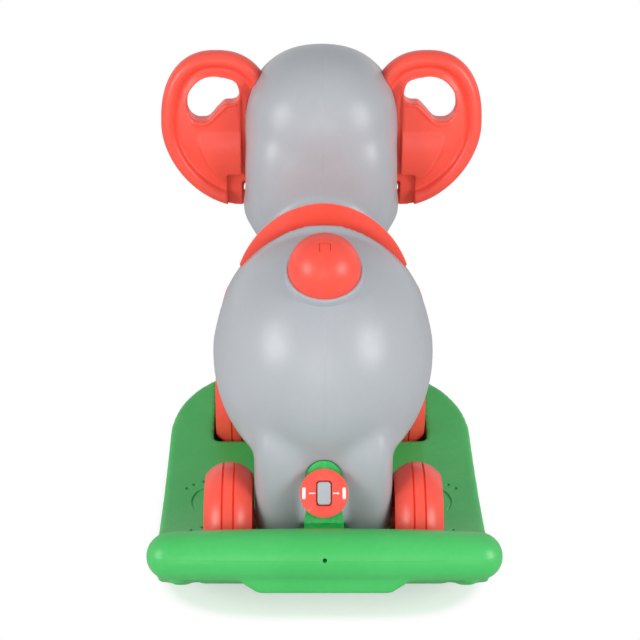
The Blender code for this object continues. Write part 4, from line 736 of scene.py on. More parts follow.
bracket = {
    "halfWidth": 0.017, "bossRadius": 0.0208, "flare": 0.0016, "thickness": 0.005,
    "top": 0.0304, "fold": 0.0281, "legBottomZ": 0.090, "footY": 0.2155, "screwX": 0.0105,
    "pilotRadius": 0.0023, "pilotDepth": 0.0125, "edgeRound": 0.0009, "padSpare": 0.002, "notchSpare": 0.010,
}
knob = {
    "radius": 0.0228, "flatX": 0.0213, "tabHeight": 0.0104, "thickness": 0.0068, "pocketDepth": 0.0050,
    "keyHalf": (0.0062, 0.0107), "keyProud": 0.0010, "keyCorner": 0.003, "keySpare": 0.0012,
    "spindleRadius": 0.0045, "runGap": 0.0004, "edgeRound": 0.0007, "keyRound": 0.0011,
}
bracketRear = -knob["thickness"] - seatGap
bracketFront = bracketRear - bracket["thickness"]
legRearY = toy["railY"] - toy["railRadius"] - seatGap
footZ = (latchPlace @ Vector((0, -bracket["fold"], bracketRear))).z
bracketScrews = [
    Vector((side * bracket["screwX"], legRearY - bracket["thickness"], toy["railZ"] - 0.004)) for side in (1, -1)
]


def makeRockerShell():
    shell = pieceFrom(mappedBlock(44, 90, trayPlace), "rockerShell")
    rounded(shell, rocker["edgeRound"], 5, 50)
    for side in (1, -1):
        weld(shell, runnerForm(side))
    weld(shell, railForm())
    weld(shell, stopForm())
    half = bracket["halfWidth"] + bracket["flare"]
    spare = bracket["padSpare"]
    pad = block((-half - spare, toy["railY"] - toy["railRadius"], bracket["legBottomZ"] - spare),
                (half + spare, toy["railY"] - 0.004, toy["railZ"] + 0.008))
    weld(shell, pad)
    for spot in wheelSpots:
        weld(shell, podForm(*spot))
    skinned(shell, rocker["voxel"], rocker["softRounds"])
    for spot in wheelSpots:
        carve(shell, wellForm(*spot))
    skinned(shell, rocker["voxel"], 3)
    print("rocker forms run together")

    half += seatGap
    spare = bracket["notchSpare"]
    railFrontY, railTopZ = toy["railY"] - toy["railRadius"], toy["railZ"] + toy["railRadius"]
    footBottomZ = footZ - bracket["thickness"] - seatGap
    footRearY = bracket["footY"] + seatGap
    carve(shell, block((-half, railFrontY - spare, footBottomZ), (half, footRearY, railTopZ + spare)))
    legFrontY = legRearY - bracket["thickness"] - spare
    carve(shell, block((-half, legFrontY, bracket["legBottomZ"] - seatGap), (half, legRearY + seatGap, railTopZ)))
    for seat in bracketScrews:
        end = seat + Vector((0, bracket["pilotDepth"], 0))
        carve(shell, rod(seat - Vector((0, 0.001, 0)), end, bracket["pilotRadius"], 16))
    for step in footprints["steps"]:
        for side in (1, -1):
            for x, y in footprints["toes"]:
                carve(shell, printForm(side * (x + step[0]), y + step[1], footprints["toeSize"]))
            carve(shell, archForm(side, step))
    holeZ = toy["railZ"] + rocker["blowHoleRise"]
    holeEnd = toy["railY"] + toy["railRadius"] + 0.01
    carve(shell, rod((0, toy["railY"] + 0.010, holeZ), (0, holeEnd, holeZ), rocker["blowHole"], 24))
    seamZ = toy["railZ"] + rocker["seamRise"]
    ridgeAt(shell, 2, seamZ, rocker["seamHalf"], rocker["seamHeight"], lambda place: place.y > toy["railY"] + 0.008)
    keepLargest(shell)
    return settle(shell, "base", "greenShell", "rocker_base")


footprints = {
    "toes": ((0.1401, 0.0104), (0.1330, 0.0036), (0.1225, -0.0024)),
    "steps": ((0.0, 0.0), (-0.0024, 0.0909)),
    "toeSize": (0.0026, 0.0026, 0.0022),
    "arch": ((0.1195, 0.0114), (0.1273, 0.0156), (0.1322, 0.0268), (0.1330, 0.0390), (0.1295, 0.0530)),
    "archRadius": 0.0020,
}


def printForm(x, y, size):
    return roundedForm((x, y, floorZ(y)), size, 2.0, 3)


def archForm(side, step):
    shifted = [(x + step[0], y + step[1]) for x, y in footprints["arch"]]
    points = [Vector((side * x, y, floorZ(y) + 0.0006)) for x, y in shifted]
    path = smoothPath(points, 8)
    last = len(path) - 1
    rings = []
    for k, point in enumerate(path):
        place = frameAt(point, path[min(k + 1, last)] - path[max(k - 1, 0)])
        swell = footprints["archRadius"] * (0.55 + 0.45 * math.sin(math.pi * k / last))
        rings.append([place @ Vector((x, y, 0)) for x, y in oval(swell, swell, 12)])
    return loft(rings)


makeRockerShell()


# ---- elephant ----

elephant = {
    "rump": ((0, 0.059, 0.231), (0.1075, 0.122, 0.127)),
    "back": ((0, -0.005, 0.236), (0.094, 0.125, 0.110)),
    "chest": ((0, -0.066, 0.212), (0.088, 0.088, 0.112)),
    "neck": ((0, -0.112, 0.285), (0.063, 0.070, 0.075)),
    "head": ((0, -0.144, 0.395), (0.0800, 0.0765, 0.0844), 2.3),
    "headLow": ((0, -0.144, 0.345), (0.0800, 0.0765, 0.085), 3.2),
    "haunch": ((0, 0.105, 0.172), (0.0825, 0.062, 0.027)),
    "cheek": ((0, -0.138, 0.312), (0.0828, 0.066, 0.0435), 2.25),
    "legX": 0.039, "legSemi": (0.0275, 0.046, 0.070), "legMiddleZ": 0.133, "legPower": 4.0,
    "legYs": (-0.128, 0.125), "legClearance": 0.004,
    "trunk": ((-0.190, 0.352), (-0.2245, 0.290), (-0.2190, 0.200), (-0.2362, 0.134)),
    "trunkRadii": (0.040, 0.0205), "trunkBalls": 40,
    "ridge": ((0, 0.058, 0.231), (0.101, 0.010, 0.1345)),
    "blowHole": 0.004, "blowHoleY": 0.020, "clearedYs": (-0.198, 0.187), "clearedHalf": 0.11,
    "voxel": 0.0023, "softRounds": 46, "blendRounds": 14,
    "seamHalf": 0.0007, "seamHeight": 0.00028,
    "flatCentre": (0.1025, 0.0445, 0.264), "flatDepth": 0.0024, "flatRadius": 0.036,
}
tail = {"lift": math.radians(59.8), "radius": 0.034, "height": 0.035, "collar": 0.0015, "sunk": 0.004,
        "recess": 0.0042, "recessHalf": 0.0052, "coverSunk": 0.0007, "wall": 0.003, "power": 0.92,
        "boss": 0.0075, "screwDepth": 0.0390}
sideCap = {"radius": 0.0185, "thickness": 0.005, "rise": 0.0130, "sunk": 0.0014, "spare": 0.0008,
           "pegRadius": 0.0031, "pegLength": 0.005, "crown": 0.0019}
eye = {"x": 0.031, "z": 0.396, "radius": 0.0135, "pupil": 0.0070, "sunk": 0.0040, "seat": 0.0010,
       "proud": 0.0015, "out": (0.30, -1, 0.10), "crown": 0.0027, "pupilSide": 0.0030, "pupilCrown": 0.0014}
latchRoom = {"camHalf": (0.0042, 0.01225), "camThickness": 0.005, "lip": 0.004, "padHalf": 0.019,
             "padBottom": 0.030, "screwHead": 0.0022}
saddle = {
    "frontY": -0.046, "rearY": 0.0475, "frontHalfWidth": 0.0865, "frontTopZ": 0.338,
    "sunk": 0.0022, "proud": 0.0024, "frontAngle": math.radians(45), "rearAngle": math.radians(48),
    "cantleRise": 0.0219, "cantleLength": 0.020, "cantleFade": 1.7,
    "screwAngle": math.radians(39), "screws": ((1, -0.026), (-1, -0.026), (1, 0.020), (-1, 0.020)),
    "cells": (64, 36), "risePower": 1.6, "cantlePower": 1.5, "edgeRound": 0.0014,
}
screw = {"headRadius": 0.0040, "headHeight": 0.0022, "shankRadius": 0.0019, "length": 0.0120}

padFace = bracketFront - 2 * seatGap
pocketTop = padFace - latchRoom["lip"]
camRear = pocketTop - 2 * seatGap
camFront = camRear - latchRoom["camThickness"]
pocketFloor = camFront - latchRoom["screwHead"] - 4 * seatGap

rumpCentre = Vector(elephant["rump"][0])
rumpSemi = elephant["rump"][1]
tailAxis = Vector((0, math.cos(tail["lift"]), math.sin(tail["lift"])))
tailSpread = math.hypot(rumpSemi[1] * tailAxis.y, rumpSemi[2] * tailAxis.z)
tailBase = Vector((0, rumpCentre.y + rumpSemi[1] ** 2 * tailAxis.y / tailSpread,
                   rumpCentre.z + rumpSemi[2] ** 2 * tailAxis.z / tailSpread))
tailPlace = frameAt(tailBase, tailAxis)
tailScrewSeat = tailBase + tailAxis * (tail["height"] - tail["recess"])


def elephantForms():
    forms = [roundedForm(*elephant["rump"], detail=6)]
    forms += [roundedForm(*elephant[name], detail=5) for name in ("back", "chest", "neck", "haunch")]
    forms += [roundedForm(*elephant[name], detail=6) for name in ("head", "headLow", "cheek")]
    for side in (1, -1):
        for legY in elephant["legYs"]:
            centre = (side * elephant["legX"], legY, elephant["legMiddleZ"])
            forms.append(roundedForm(centre, elephant["legSemi"], elephant["legPower"]))
    path = [Vector(point) for point in elephant["trunk"]]
    thick, thin = elephant["trunkRadii"]
    for k in range(elephant["trunkBalls"] + 1):
        t = k / elephant["trunkBalls"]
        start, end = path[0] * (1 - t) ** 3, path[3] * t**3
        place = start + path[1] * 3 * t * (1 - t) ** 2 + path[2] * 3 * t**2 * (1 - t) + end
        radius = thick + (thin - thick) * t
        forms.append(roundedForm((0, place.x, place.y), (radius,) * 3, detail=4))
    return forms


def trayClearance():
    start, end = elephant["clearedYs"]
    half = elephant["clearedHalf"]
    outline = [(y, floorZ(y) + elephant["legClearance"]) for y in spaced(start, end, 40)]
    outline += [(end, 0.0), (start, 0.0)]
    return prism(outline, -half, half, sideways)


def latchBlock(halfWidth, lowUp, highUp, lowOut, highOut):
    return moved(block((-halfWidth, lowUp, lowOut), (halfWidth, highUp, highOut)), latchPlace)


def latchRod(up, lowOut, highOut, radius, segments=48, endRadius=None):
    low, high = (latchPlace @ Vector((0, up, out)) for out in (lowOut, highOut))
    return rod(low, high, radius, segments, endRadius)


def latchRoomForms(clearance):
    half = bracket["halfWidth"] + clearance
    boss = bracket["bossRadius"] + clearance
    topCentre = bracket["top"] - bracket["halfWidth"]
    knobRoom = knob["radius"] + 0.001 + clearance
    return [
        latchBlock(half, -0.10, topCentre, padFace, 0.06),
        latchBlock(boss, -0.10, 0, padFace, 0.06),
        latchRod(0, padFace, 0.06, boss, 72),
        latchRod(topCentre, padFace, 0.06, half, 64),
        latchRod(0, -knob["thickness"] - 2 * clearance, 0.06, knobRoom, 80, knobRoom + 0.02),
    ]


def camRoomForms():
    pocketRadius = latchRoom["camHalf"][1] + 0.0008
    groove = knob["spindleRadius"] + knob["runGap"]
    return [
        latchRod(0, pocketFloor, pocketTop, pocketRadius),
        latchBlock(groove, -0.10, 0, pocketFloor, padFace + 0.001),
        latchRod(0, pocketTop - 0.001, padFace + 0.001, groove),
    ]


def flankPlace(side):
    centre = Vector(elephant["flatCentre"])
    out = Vector((centre[i] - rumpCentre[i]) / rumpSemi[i] ** 2 for i in range(3))
    reach = math.sqrt(sum(((centre[i] - rumpCentre[i]) / rumpSemi[i]) ** 2 for i in range(3)))
    place = rumpCentre + (centre - rumpCentre) / reach
    out.x *= side
    place.x *= side
    return frameAt(place - out.normalized() * elephant["flatDepth"], out)


def sideCapPlace(side):
    return flankPlace(side) @ Matrix.Translation((0, sideCap["rise"], -sideCap["sunk"]))


def eyePlace(side):
    centre, semi, power = elephant["head"]
    across = (eye["x"] / semi[0]) ** power + (abs(eye["z"] - centre[2]) / semi[2]) ** power
    y = centre[1] - semi[1] * (1 - across) ** (1 / power)
    out = Vector(eye["out"])
    return frameAt((side * eye["x"], y + eye["proud"], eye["z"]), (side * out.x, out.y, out.z))


def plug(place, radius, low, high, segments=72):
    return turned(((0, low), (radius, low), (radius, high), (0, high)), place, segments)


def saddlePlace(angle, y, offset):
    rump = math.sqrt(1 - ((saddle["rearY"] - rumpCentre.y) / rumpSemi[1]) ** 2)
    along = max((y - saddle["frontY"]) / (saddle["rearY"] - saddle["frontY"]), 0)
    halfWidth = saddle["frontHalfWidth"] + (rumpSemi[0] * rump - saddle["frontHalfWidth"]) * along
    frontRise = saddle["frontTopZ"] - rumpCentre.z
    rise = frontRise + (rumpSemi[2] * rump - frontRise) * along ** saddle["risePower"]
    return Vector(((halfWidth + offset) * math.sin(angle), y, rumpCentre.z + (rise + offset) * math.cos(angle)))


def saddleSeatForm():
    front = saddle["frontY"] - seatGap
    length = saddle["rearY"] - saddle["frontY"] + 2 * seatGap

    def place(u, v, w):
        widest = saddle["frontAngle"] + (saddle["rearAngle"] - saddle["frontAngle"]) * v + 0.005
        offset = -saddle["sunk"] - 1.5 * seatGap if w < 0.5 else 0.045
        return saddlePlace((2 * u - 1) * widest, front + length * v, offset)

    return mappedBlock(*saddle["cells"], place)


def screwWay(seat, direction, length, mouth=0.02):
    shank = screw["shankRadius"] + seatGap
    head = screw["headRadius"] + 2 * seatGap
    end = -length - seatGap
    profile = ((0, end), (shank, end), (shank, -seatGap), (head, -seatGap), (head, mouth), (0, mouth))
    return turned(profile, frameAt(seat, -Vector(direction)), 24)


def screwHole(seat, length):
    # A plain way through for a shank along Y.
    start = seat - Vector((0, 0.01, 0))
    return rod(start, seat + Vector((0, length, 0)), screw["shankRadius"] + seatGap, 24)


def saddleScrewSeat(side, y):
    place = saddlePlace(side * saddle["screwAngle"], y, 0.0004)
    deeper = saddlePlace(side * saddle["screwAngle"], y, -0.010)
    return place, (deeper - place).normalized()


gear = {"axleRadius": 0.004, "hubRadius": 0.012, "bushFlange": 0.0016, "bushLength": 0.012, "bushWall": 0.0024,
        "hubRoom": 0.003, "legCut": 0.0022}
legFaceX = elephant["legX"] + elephant["legSemi"][0] - gear["legCut"]
hubEndX = legFaceX + seatGap + gear["bushFlange"] + seatGap


def axleSeatForms(axleY):
    reach = elephant["legX"] + elephant["legSemi"][0] + 0.02
    outer = gear["axleRadius"] + gear["bushWall"]
    forms = [rod((-reach, axleY, toy["axleZ"]), (reach, axleY, toy["axleZ"]), gear["axleRadius"] + seatGap)]
    for side in (1, -1):
        end = (side * reach, axleY, toy["axleZ"])
        bushEnd = (side * (legFaceX - gear["bushLength"] - seatGap), axleY, toy["axleZ"])
        forms.append(rod(bushEnd, end, outer + seatGap))
        forms.append(rod((side * legFaceX, axleY, toy["axleZ"]), end, gear["hubRadius"] + gear["hubRoom"], 48))
    return forms


ear = {
    "y": -0.144, "middleZ": 0.396, "outerX": 0.1677, "topX": 0.109, "topInnerReach": 0.0612, "topPower": 2.4,
    "rise": 0.0803, "lowX": 0.084, "lowPower": 1.80, "fall": 0.0900,
    "rim": 0.0088, "rimDepth": 0.0118,
    "dish": ((0.0084, -0.0075), (0.0084, 0.0060), (0.0152, 0.0040), (0.0345, 0.0134)),
    "barrelZ": 0.3675, "barrelHalfHeight": 0.037, "barrelHalfDepth": 0.0175, "barrelBack": -0.004,
    "heart": (0.113, 0.427),
    "barrelEdge": ((0.3305, 0.0995), (0.3400, 0.1080), (0.3540, 0.1178), (0.3737, 0.1274), (0.3879, 0.1289),
                   (0.4045, 0.1290)),
    "pocket": ((0.3450, 0.0060), (0.3000, -0.0030), (0.3000, 0.0300), (0.3450, 0.0300)), "pocketX": 0.0985,
    "lipRadius": 0.0016, "lipOut": 0.0040, "lipLift": 0.0132, "lipPoints": (4, 10), "holeSpare": 0.0009,
    "hubZ": 0.378, "hubHalfHeight": 0.026, "hubHalfDepth": 0.0125,
    "edgeX": 0.0835, "edgeZs": (0.3350, 0.4360), "rootDepth": 0.0098, "backDepth": -0.0030,
    "seatX": 0.0760, "rootX": 0.062, "headGap": 0.0004, "tenonHalf": (0.014, 0.008), "tenonDepth": 0.015,
    "hole": ((0.1083, 0.4492), (0.0912, 0.4448), (0.0862, 0.4345), (0.0876, 0.4262), (0.0930, 0.4233),
             (0.1011, 0.4228), (0.1074, 0.4172), (0.1124, 0.4109), (0.1174, 0.4058), (0.1245, 0.4045),
             (0.1316, 0.4060), (0.1372, 0.4121), (0.1388, 0.4200), (0.1368, 0.4318), (0.1303, 0.4412),
             (0.1210, 0.4476)),
    "voxel": 0.0013, "screwDepth": 0.022, "screwMouth": 0.08,
}


def hubPlace(side):
    return Matrix.Translation((0, ear["y"], ear["hubZ"])) @ Matrix(
        ((0, 0, side, 0), (0, side, 0, 0), (1, 0, 0, 0), (0, 0, 0, 1))
    )


def earSocketForms(side):
    slot = roundedRectangle(ear["tenonHalf"][0] + seatGap, ear["tenonHalf"][1] + seatGap, 0.003)
    hub = oval(ear["hubHalfHeight"] + 0.0005, ear["hubHalfDepth"] + 0.0005)
    mouth = ear["seatX"] + 0.03
    return [
        prism(hub, ear["seatX"] - seatGap, mouth, hubPlace(side)),
        prism(slot, ear["seatX"] - ear["tenonDepth"] - 2 * seatGap, mouth, hubPlace(side)),
    ]


def earScrewSeat(side):
    return Vector((side * (ear["seatX"] - 0.008), ear["y"] - ear["tenonHalf"][1] - 0.0065, ear["hubZ"]))


def tailCollarForm():
    radius = tail["radius"]
    collar = tail["collar"]
    edge = arcPoints((radius + collar, 0), (collar, collar), 0, math.pi / 2, 8)
    profile = [(radius - 0.004, -0.014), (radius + 2 * collar, -0.014)] + edge + [(radius - 0.004, collar)]
    return turned(profile, tailPlace, 96)


def grown(item, amount):
    # The same skin, a little larger all round.
    bm = opened(item)
    bm.normal_update()
    for vert in bm.verts:
        vert.co += vert.normal * amount
    return bm


def makeElephantSkin():
    skin = joined("elephantSkin", elephantForms())
    skinned(skin, elephant["voxel"], elephant["softRounds"])
    weld(skin, roundedForm(*elephant["ridge"], detail=6))
    low, high = pocketFloor - 0.03, padFace + 0.002
    weld(skin, latchBlock(latchRoom["padHalf"], -latchRoom["padBottom"], bracket["top"], low, high))
    skinned(skin, elephant["voxel"], elephant["blendRounds"])
    for form in latchRoomForms(0.0002):
        carve(skin, form)
    for side in (1, -1):
        carve(skin, plug(flankPlace(side), elephant["flatRadius"], 0, 0.02))
    carve(skin, trayClearance())
    skinned(skin, elephant["voxel"], 3)
    print("elephant forms run together")
    outer = pieceFrom(grown(skin, ear["headGap"]), "outerHead")

    weld(skin, tailCollarForm())
    carve(skin, trayClearance())
    carve(skin, saddleSeatForm())
    for side, y in saddle["screws"]:
        seat, inward = saddleScrewSeat(side, y)
        carve(skin, screwWay(seat, inward, screw["length"]))
    for axleY in toy["axleYs"]:
        for form in axleSeatForms(axleY):
            carve(skin, form)
    for side in (1, -1):
        for form in earSocketForms(side):
            carve(skin, form)
        carve(skin, screwWay(earScrewSeat(side), (0, 1, 0), ear["screwDepth"], ear["screwMouth"]))
        deep = -sideCap["thickness"]
        carve(skin, plug(sideCapPlace(side), sideCap["radius"] + sideCap["spare"], deep, 0.02))
        pegDeep = deep - sideCap["pegLength"] - 0.0005
        carve(skin, plug(sideCapPlace(side), sideCap["pegRadius"] + seatGap, pegDeep, 0, 24))
        carve(skin, plug(eyePlace(side), eye["radius"] + seatGap, -eye["sunk"], 0.02))
    carve(skin, plug(tailPlace, tail["radius"] + seatGap, -tail["sunk"], 0.05, 96))
    carve(skin, screwWay(tailScrewSeat, -tailAxis, tail["screwDepth"]))
    for form in latchRoomForms(0.0007) + camRoomForms():
        carve(skin, form)
    low = rumpCentre.z - rumpSemi[2]
    y = elephant["blowHoleY"]
    carve(skin, rod((0, y, low + 0.03), (0, y, low - 0.03), elephant["blowHole"], 24))
    keepLargest(skin)
    ridgeAt(skin, 0, 0.0, elephant["seamHalf"], elephant["seamHeight"], onOuterSkin)
    settle(skin, "elephant", "greyShell", "elephant_body")
    return outer


def onOuterSkin(place):
    # Leaves the seats of the saddle, the tail and the lock without a raised line.
    underSaddle = saddle["frontY"] - 0.001 < place.y < saddle["rearY"] + 0.001 and place.z > 0.30
    byTail = (place - tailBase).length < tail["radius"] + 0.006
    byLock = (place - Vector(toy["latchCentre"])).length < 0.062
    return not (underSaddle or byTail or byLock)


outerHead = makeElephantSkin()


def makeSaddleSkin():
    def place(u, v, w):
        widest = saddle["frontAngle"] + (saddle["rearAngle"] - saddle["frontAngle"]) * v
        angle = (2 * u - 1) * widest
        y = saddle["frontY"] + (saddle["rearY"] - saddle["frontY"]) * v
        if w < 0.5:
            return saddlePlace(angle, y, -saddle["sunk"])
        nearRear = clamp(1 - (saddle["rearY"] - y) / saddle["cantleLength"])
        fade = 1 - abs(angle / saddle["rearAngle"]) ** saddle["cantleFade"]
        rise = saddle["cantleRise"] * nearRear ** saddle["cantlePower"] * fade
        return saddlePlace(angle, y, saddle["proud"] + rise)

    skin = pieceFrom(mappedBlock(*saddle["cells"], place), "saddleSkin")
    rounded(skin, saddle["edgeRound"], 4, 50)
    for side, y in saddle["screws"]:
        seat, inward = saddleScrewSeat(side, y)
        carve(skin, screwWay(seat, inward, screw["length"]), "EXACT")
    return settle(skin, "elephant", "redPanel", "saddle")


makeSaddleSkin()


def makeTailDome():
    radius = tail["radius"]
    height = tail["height"]
    wall = tail["wall"]
    bottom = -tail["sunk"] + seatGap
    circle = arcPoints((0, 0), (1, 1), 0, 29 * math.pi / 60, 29)
    outside = [(radius * across**tail["power"], height * up) for across, up in circle]
    outside.append((0, height))
    inside = arcPoints((0, 0), (radius - wall, height - wall), 0, 15 * math.pi / 32, 15)
    boss = tail["boss"]
    inside = [(r, h) for r, h in inside if r > boss + 0.002]
    roof = (height - wall) * math.sqrt(max(1 - (boss / (radius - wall)) ** 2, 0))
    profile = [(radius, bottom)] + outside + [(0, bottom), (boss, bottom), (boss, roof)]
    profile += list(reversed(inside)) + [(radius - wall, bottom)]
    dome = pieceFrom(turned(profile, tailPlace, 96), "tailDome")
    half = tail["recessHalf"]
    low = height - tail["recess"] - seatGap
    carve(dome, prism(roundedRectangle(half, half, 0.0012, 4), low, height + 0.01, tailPlace), "EXACT")
    carve(dome, plug(tailPlace, screw["shankRadius"] + seatGap, -0.01, height, 24), "EXACT")
    settle(dome, "elephant", "redPanel", "tail")
    half -= seatGap
    low = height - tail["recess"] + screw["headHeight"] + seatGap
    square = roundedRectangle(half, half, 0.0011, 4)
    cover = pieceFrom(prism(square, low, height - tail["coverSunk"], tailPlace), "tailCover")
    rounded(cover, 0.0003, 2, 50)
    return settle(cover, "elephant", "redPanel")


makeTailDome()


# ---- ears ----


def earOutline(inset, steps=110):
    points = []
    for k in range(steps + 1):
        angle = -math.pi / 2 + (math.pi * 1.33) * k / steps
        cosine = math.cos(angle)
        sine = math.sin(angle)
        wanted = ("topX", "topPower", "rise") if angle > 0 else ("lowX", "lowPower", "fall")
        middle, power, height = (ear[name] for name in wanted)
        reach = ear["outerX"] - middle if cosine > 0 else ear["topInnerReach"]
        across = math.copysign(abs(cosine) ** (2 / power), cosine) * (reach - inset)
        up = math.copysign(abs(sine) ** (2 / power), sine) * (height - inset)
        points.append(Vector((middle + across, ear["middleZ"] + up)))
    return points


def earPlace(side):
    return Matrix(((side, 0, 0, 0), (0, 0, 1, ear["y"]), (0, 1, 0, 0), (0, 0, 0, 1)))


def dishForm():
    # The ear's plate. Inside the rim it drops to a valley and rises again.
    bm = loft([[(max(point.x, ear["rootX"]), point.y, depth) for point in earOutline(inset)]
               for inset, depth in ear["dish"]])
    bmesh.ops.remove_doubles(bm, verts=bm.verts, dist=1e-6)
    return bm


def barrelForm():
    # The swelling that runs from the head into the plate, cut off slantwise at its outer end.
    edge = ear["barrelEdge"]
    rows = []
    for k in range(33):
        angle = -math.pi / 2 + math.pi * (k + 0.5) / 33
        z = ear["barrelZ"] + ear["barrelHalfHeight"] * math.sin(angle)
        depth = ear["barrelHalfDepth"] * math.cos(angle)
        near = [pair for pair in zip(edge, edge[1:]) if z <= pair[1][0]] or [(edge[-2], edge[-1])]
        (z0, x0), (z1, x1) = near[0]
        outer = x0 + (x1 - x0) * clamp((z - z0) / (z1 - z0))
        corners = ((ear["rootX"], ear["barrelBack"]), (outer, ear["barrelBack"]), (outer + 0.0015, depth * 0.55),
                   (outer - 0.0015, depth), (ear["rootX"], depth))
        rows.append([(x, z, y) for x, y in corners])
    return loft(rows)


def makeEarShell(side, hand):
    place = earPlace(side)
    forms = [moved(dishForm(), place)]
    rim = ear["rim"]
    for point in earOutline(rim, 130):
        if point.x > ear["rootX"]:
            forms.append(moved(roundedForm((point.x, point.y, 0), (rim, rim, ear["rimDepth"]), detail=3), place))
    forms.append(moved(barrelForm(), place))
    shell = joined(f"earShell{hand}", forms)
    skinned(shell, ear["voxel"], 5)
    hole = smoothPath(ear["hole"], 6, True)
    heart = Vector(ear["heart"])
    start, end = (index * 6 for index in ear["lipPoints"])
    lip = []
    for point in hole[start:end]:
        x, y = point + (point - heart).normalized() * ear["lipOut"]
        lip.append(roundedForm((x, y, ear["lipLift"]), (ear["lipRadius"],) * 3, detail=3))
    bead = joined("lip", [moved(form, place) for form in lip])
    skinned(bead, 0.0006, 4)
    weld(shell, bead)
    wedge = [(z - ear["hubZ"], side * depth) for z, depth in ear["pocket"]]
    carve(shell, prism(wedge, 0.075, ear["pocketX"], hubPlace(side)))
    wider = [point + (point - heart).normalized() * ear["holeSpare"] for point in hole]
    carve(shell, prism(wider, -0.03, 0.03, place))
    low, high = ear["edgeZs"]
    carve(shell, moved(block((0.05, 0.28, ear["backDepth"]), (ear["edgeX"], low, 0.03)), place))
    carve(shell, moved(block((0.05, low - 0.002, ear["rootDepth"]), (ear["edgeX"], high, 0.03)), place))
    skinned(shell, ear["voxel"] * 0.85, 4)
    carve(shell, grown(outerHead, 0))
    neckEnd = ear["seatX"] + 0.0085
    weld(shell, prism(oval(ear["hubHalfHeight"], ear["rootDepth"]), ear["seatX"], neckEnd, hubPlace(side)))
    tenon = roundedRectangle(*ear["tenonHalf"], 0.003)
    weld(shell, prism(tenon, ear["seatX"] - ear["tenonDepth"], ear["seatX"] + 0.003, hubPlace(side)))
    carve(shell, screwHole(earScrewSeat(side), 0.05))
    keepLargest(shell)
    return settle(shell, "elephant", "redPanel", "ear_" + hand.lower(), angle=50)


for side, hand in hands:
    makeEarShell(side, hand)
bpy.data.objects.remove(outerHead, do_unlink=True)


# ---- caps and eyes ----


def makeSideCap(side, hand):
    place = sideCapPlace(side)
    bottom = -sideCap["thickness"] + seatGap
    radius = sideCap["radius"]
    peg = sideCap["pegRadius"]
    pegEnd = bottom - sideCap["pegLength"]
    crown = arcPoints((0, -0.0002), (radius, sideCap["crown"]), math.pi / 10, 9 * math.pi / 20, 7)
    profile = [(0, pegEnd), (peg, pegEnd), (peg, bottom), (radius - 0.0006, bottom),
               (radius, bottom + 0.0006), (radius, -0.0016), (radius - 0.0003, -0.0007)] + crown + [(0, 0.0017)]
    cap = pieceFrom(turned(profile, place, 72), f"sideCap{hand}")
    return settle(cap, "elephant", "redPanel", "side_cap_" + hand.lower(), angle=50)


def makeEye(side, hand):
    place = eyePlace(side)
    low = -eye["sunk"] + seatGap
    radius = eye["radius"]
    pupil = eye["pupil"]
    seat = eye["seat"]
    rise = eye["pupilSide"]
    crown = arcPoints((0, seat), (radius, eye["crown"]), math.pi / 40, 19 * math.pi / 40, 18)
    crown = [(r, h) for r, h in crown if r > pupil + seatGap + 0.0002]
    rest = [(pupil + seatGap, rise + 0.0003), (pupil + seatGap, seat), (0, seat)]
    white = [(0, low), (radius, low), (radius, 0.0008)] + crown + rest
    item = pieceFrom(turned(white, place, 72), f"eyeWhite{hand}")
    settle(item, "elephant", "whiteCap", "eye_white_" + hand.lower(), angle=50)
    dome = arcPoints((0, rise), (pupil, eye["pupilCrown"]), 0, 11 * math.pi / 24, 11)
    black = [(0, seat + seatGap), (pupil, seat + seatGap)] + dome + [(0, rise + eye["pupilCrown"])]
    item = pieceFrom(turned(black, place, 56), f"eyePupil{hand}")
    settle(item, "elephant", "blackPupil", "eye_pupil_" + hand.lower(), angle=50)


for side, hand in hands:
    makeSideCap(side, hand)
    makeEye(side, hand)


# ---- wheels ----

wheel = {"groove": 0.0018, "grooveHalf": 0.0011, "grooveX": 0.0053, "crown": 0.0119,
         "crownPower": 2.24, "hubCapRadius": 0.0165, "capDepth": 0.0150}


def wheelProfile():
    # Barrel-shaped tread with two grooves, dished web and hub.
    outer = toy["wheelOuterX"]
    inner = outer - toy["wheelWidth"]
    radius = toy["wheelRadius"]
    middle = (inner + outer) / 2
    web = outer - wheel["capDepth"] - seatGap
    bore = gear["axleRadius"] + knob["runGap"]
    capSeat = wheel["hubCapRadius"] + seatGap

    def treadRadius(x):
        return radius - wheel["crown"] * (abs(x - middle) / (toy["wheelWidth"] / 2)) ** wheel["crownPower"]

    tread = []
    grooves = (-wheel["grooveX"], wheel["grooveX"])
    stations = spaced(inner, outer, 44)
    for groove in grooves:
        stations = [x for x in stations if abs(x - middle - groove) > wheel["grooveHalf"] * 1.35]
        stations += [middle + groove + wheel["grooveHalf"] * share for share in (-1.3, -1, -0.6, 0, 0.6, 1, 1.3)]
    for x in sorted(stations):
        r = treadRadius(x)
        for groove in grooves:
            off = abs(x - middle - groove) / wheel["grooveHalf"]
            if off < 1:
                r -= wheel["groove"] * (1 - off**2)
        tread.append((r, x))
    edge = treadRadius(outer)
    return [
        (bore, hubEndX), (gear["hubRadius"], hubEndX), (gear["hubRadius"], web - 0.012),
        (edge - 0.0065, web - 0.008), (edge - 0.0010, inner + 0.0118), (edge - 0.0030, inner + 0.0015),
        (edge - 0.0015, inner),
    ] + tread + [
        (edge - 0.0012, outer + 0.0002), (edge - 0.0028, outer - 0.0008), (edge - 0.0065, outer - 0.0044),
        (edge - 0.0090, outer - 0.0052), (capSeat + 0.0035, outer - 0.0052), (capSeat + 0.0008, outer - 0.0052),
        (capSeat, outer - 0.0056), (capSeat, web), (bore, web),
    ]


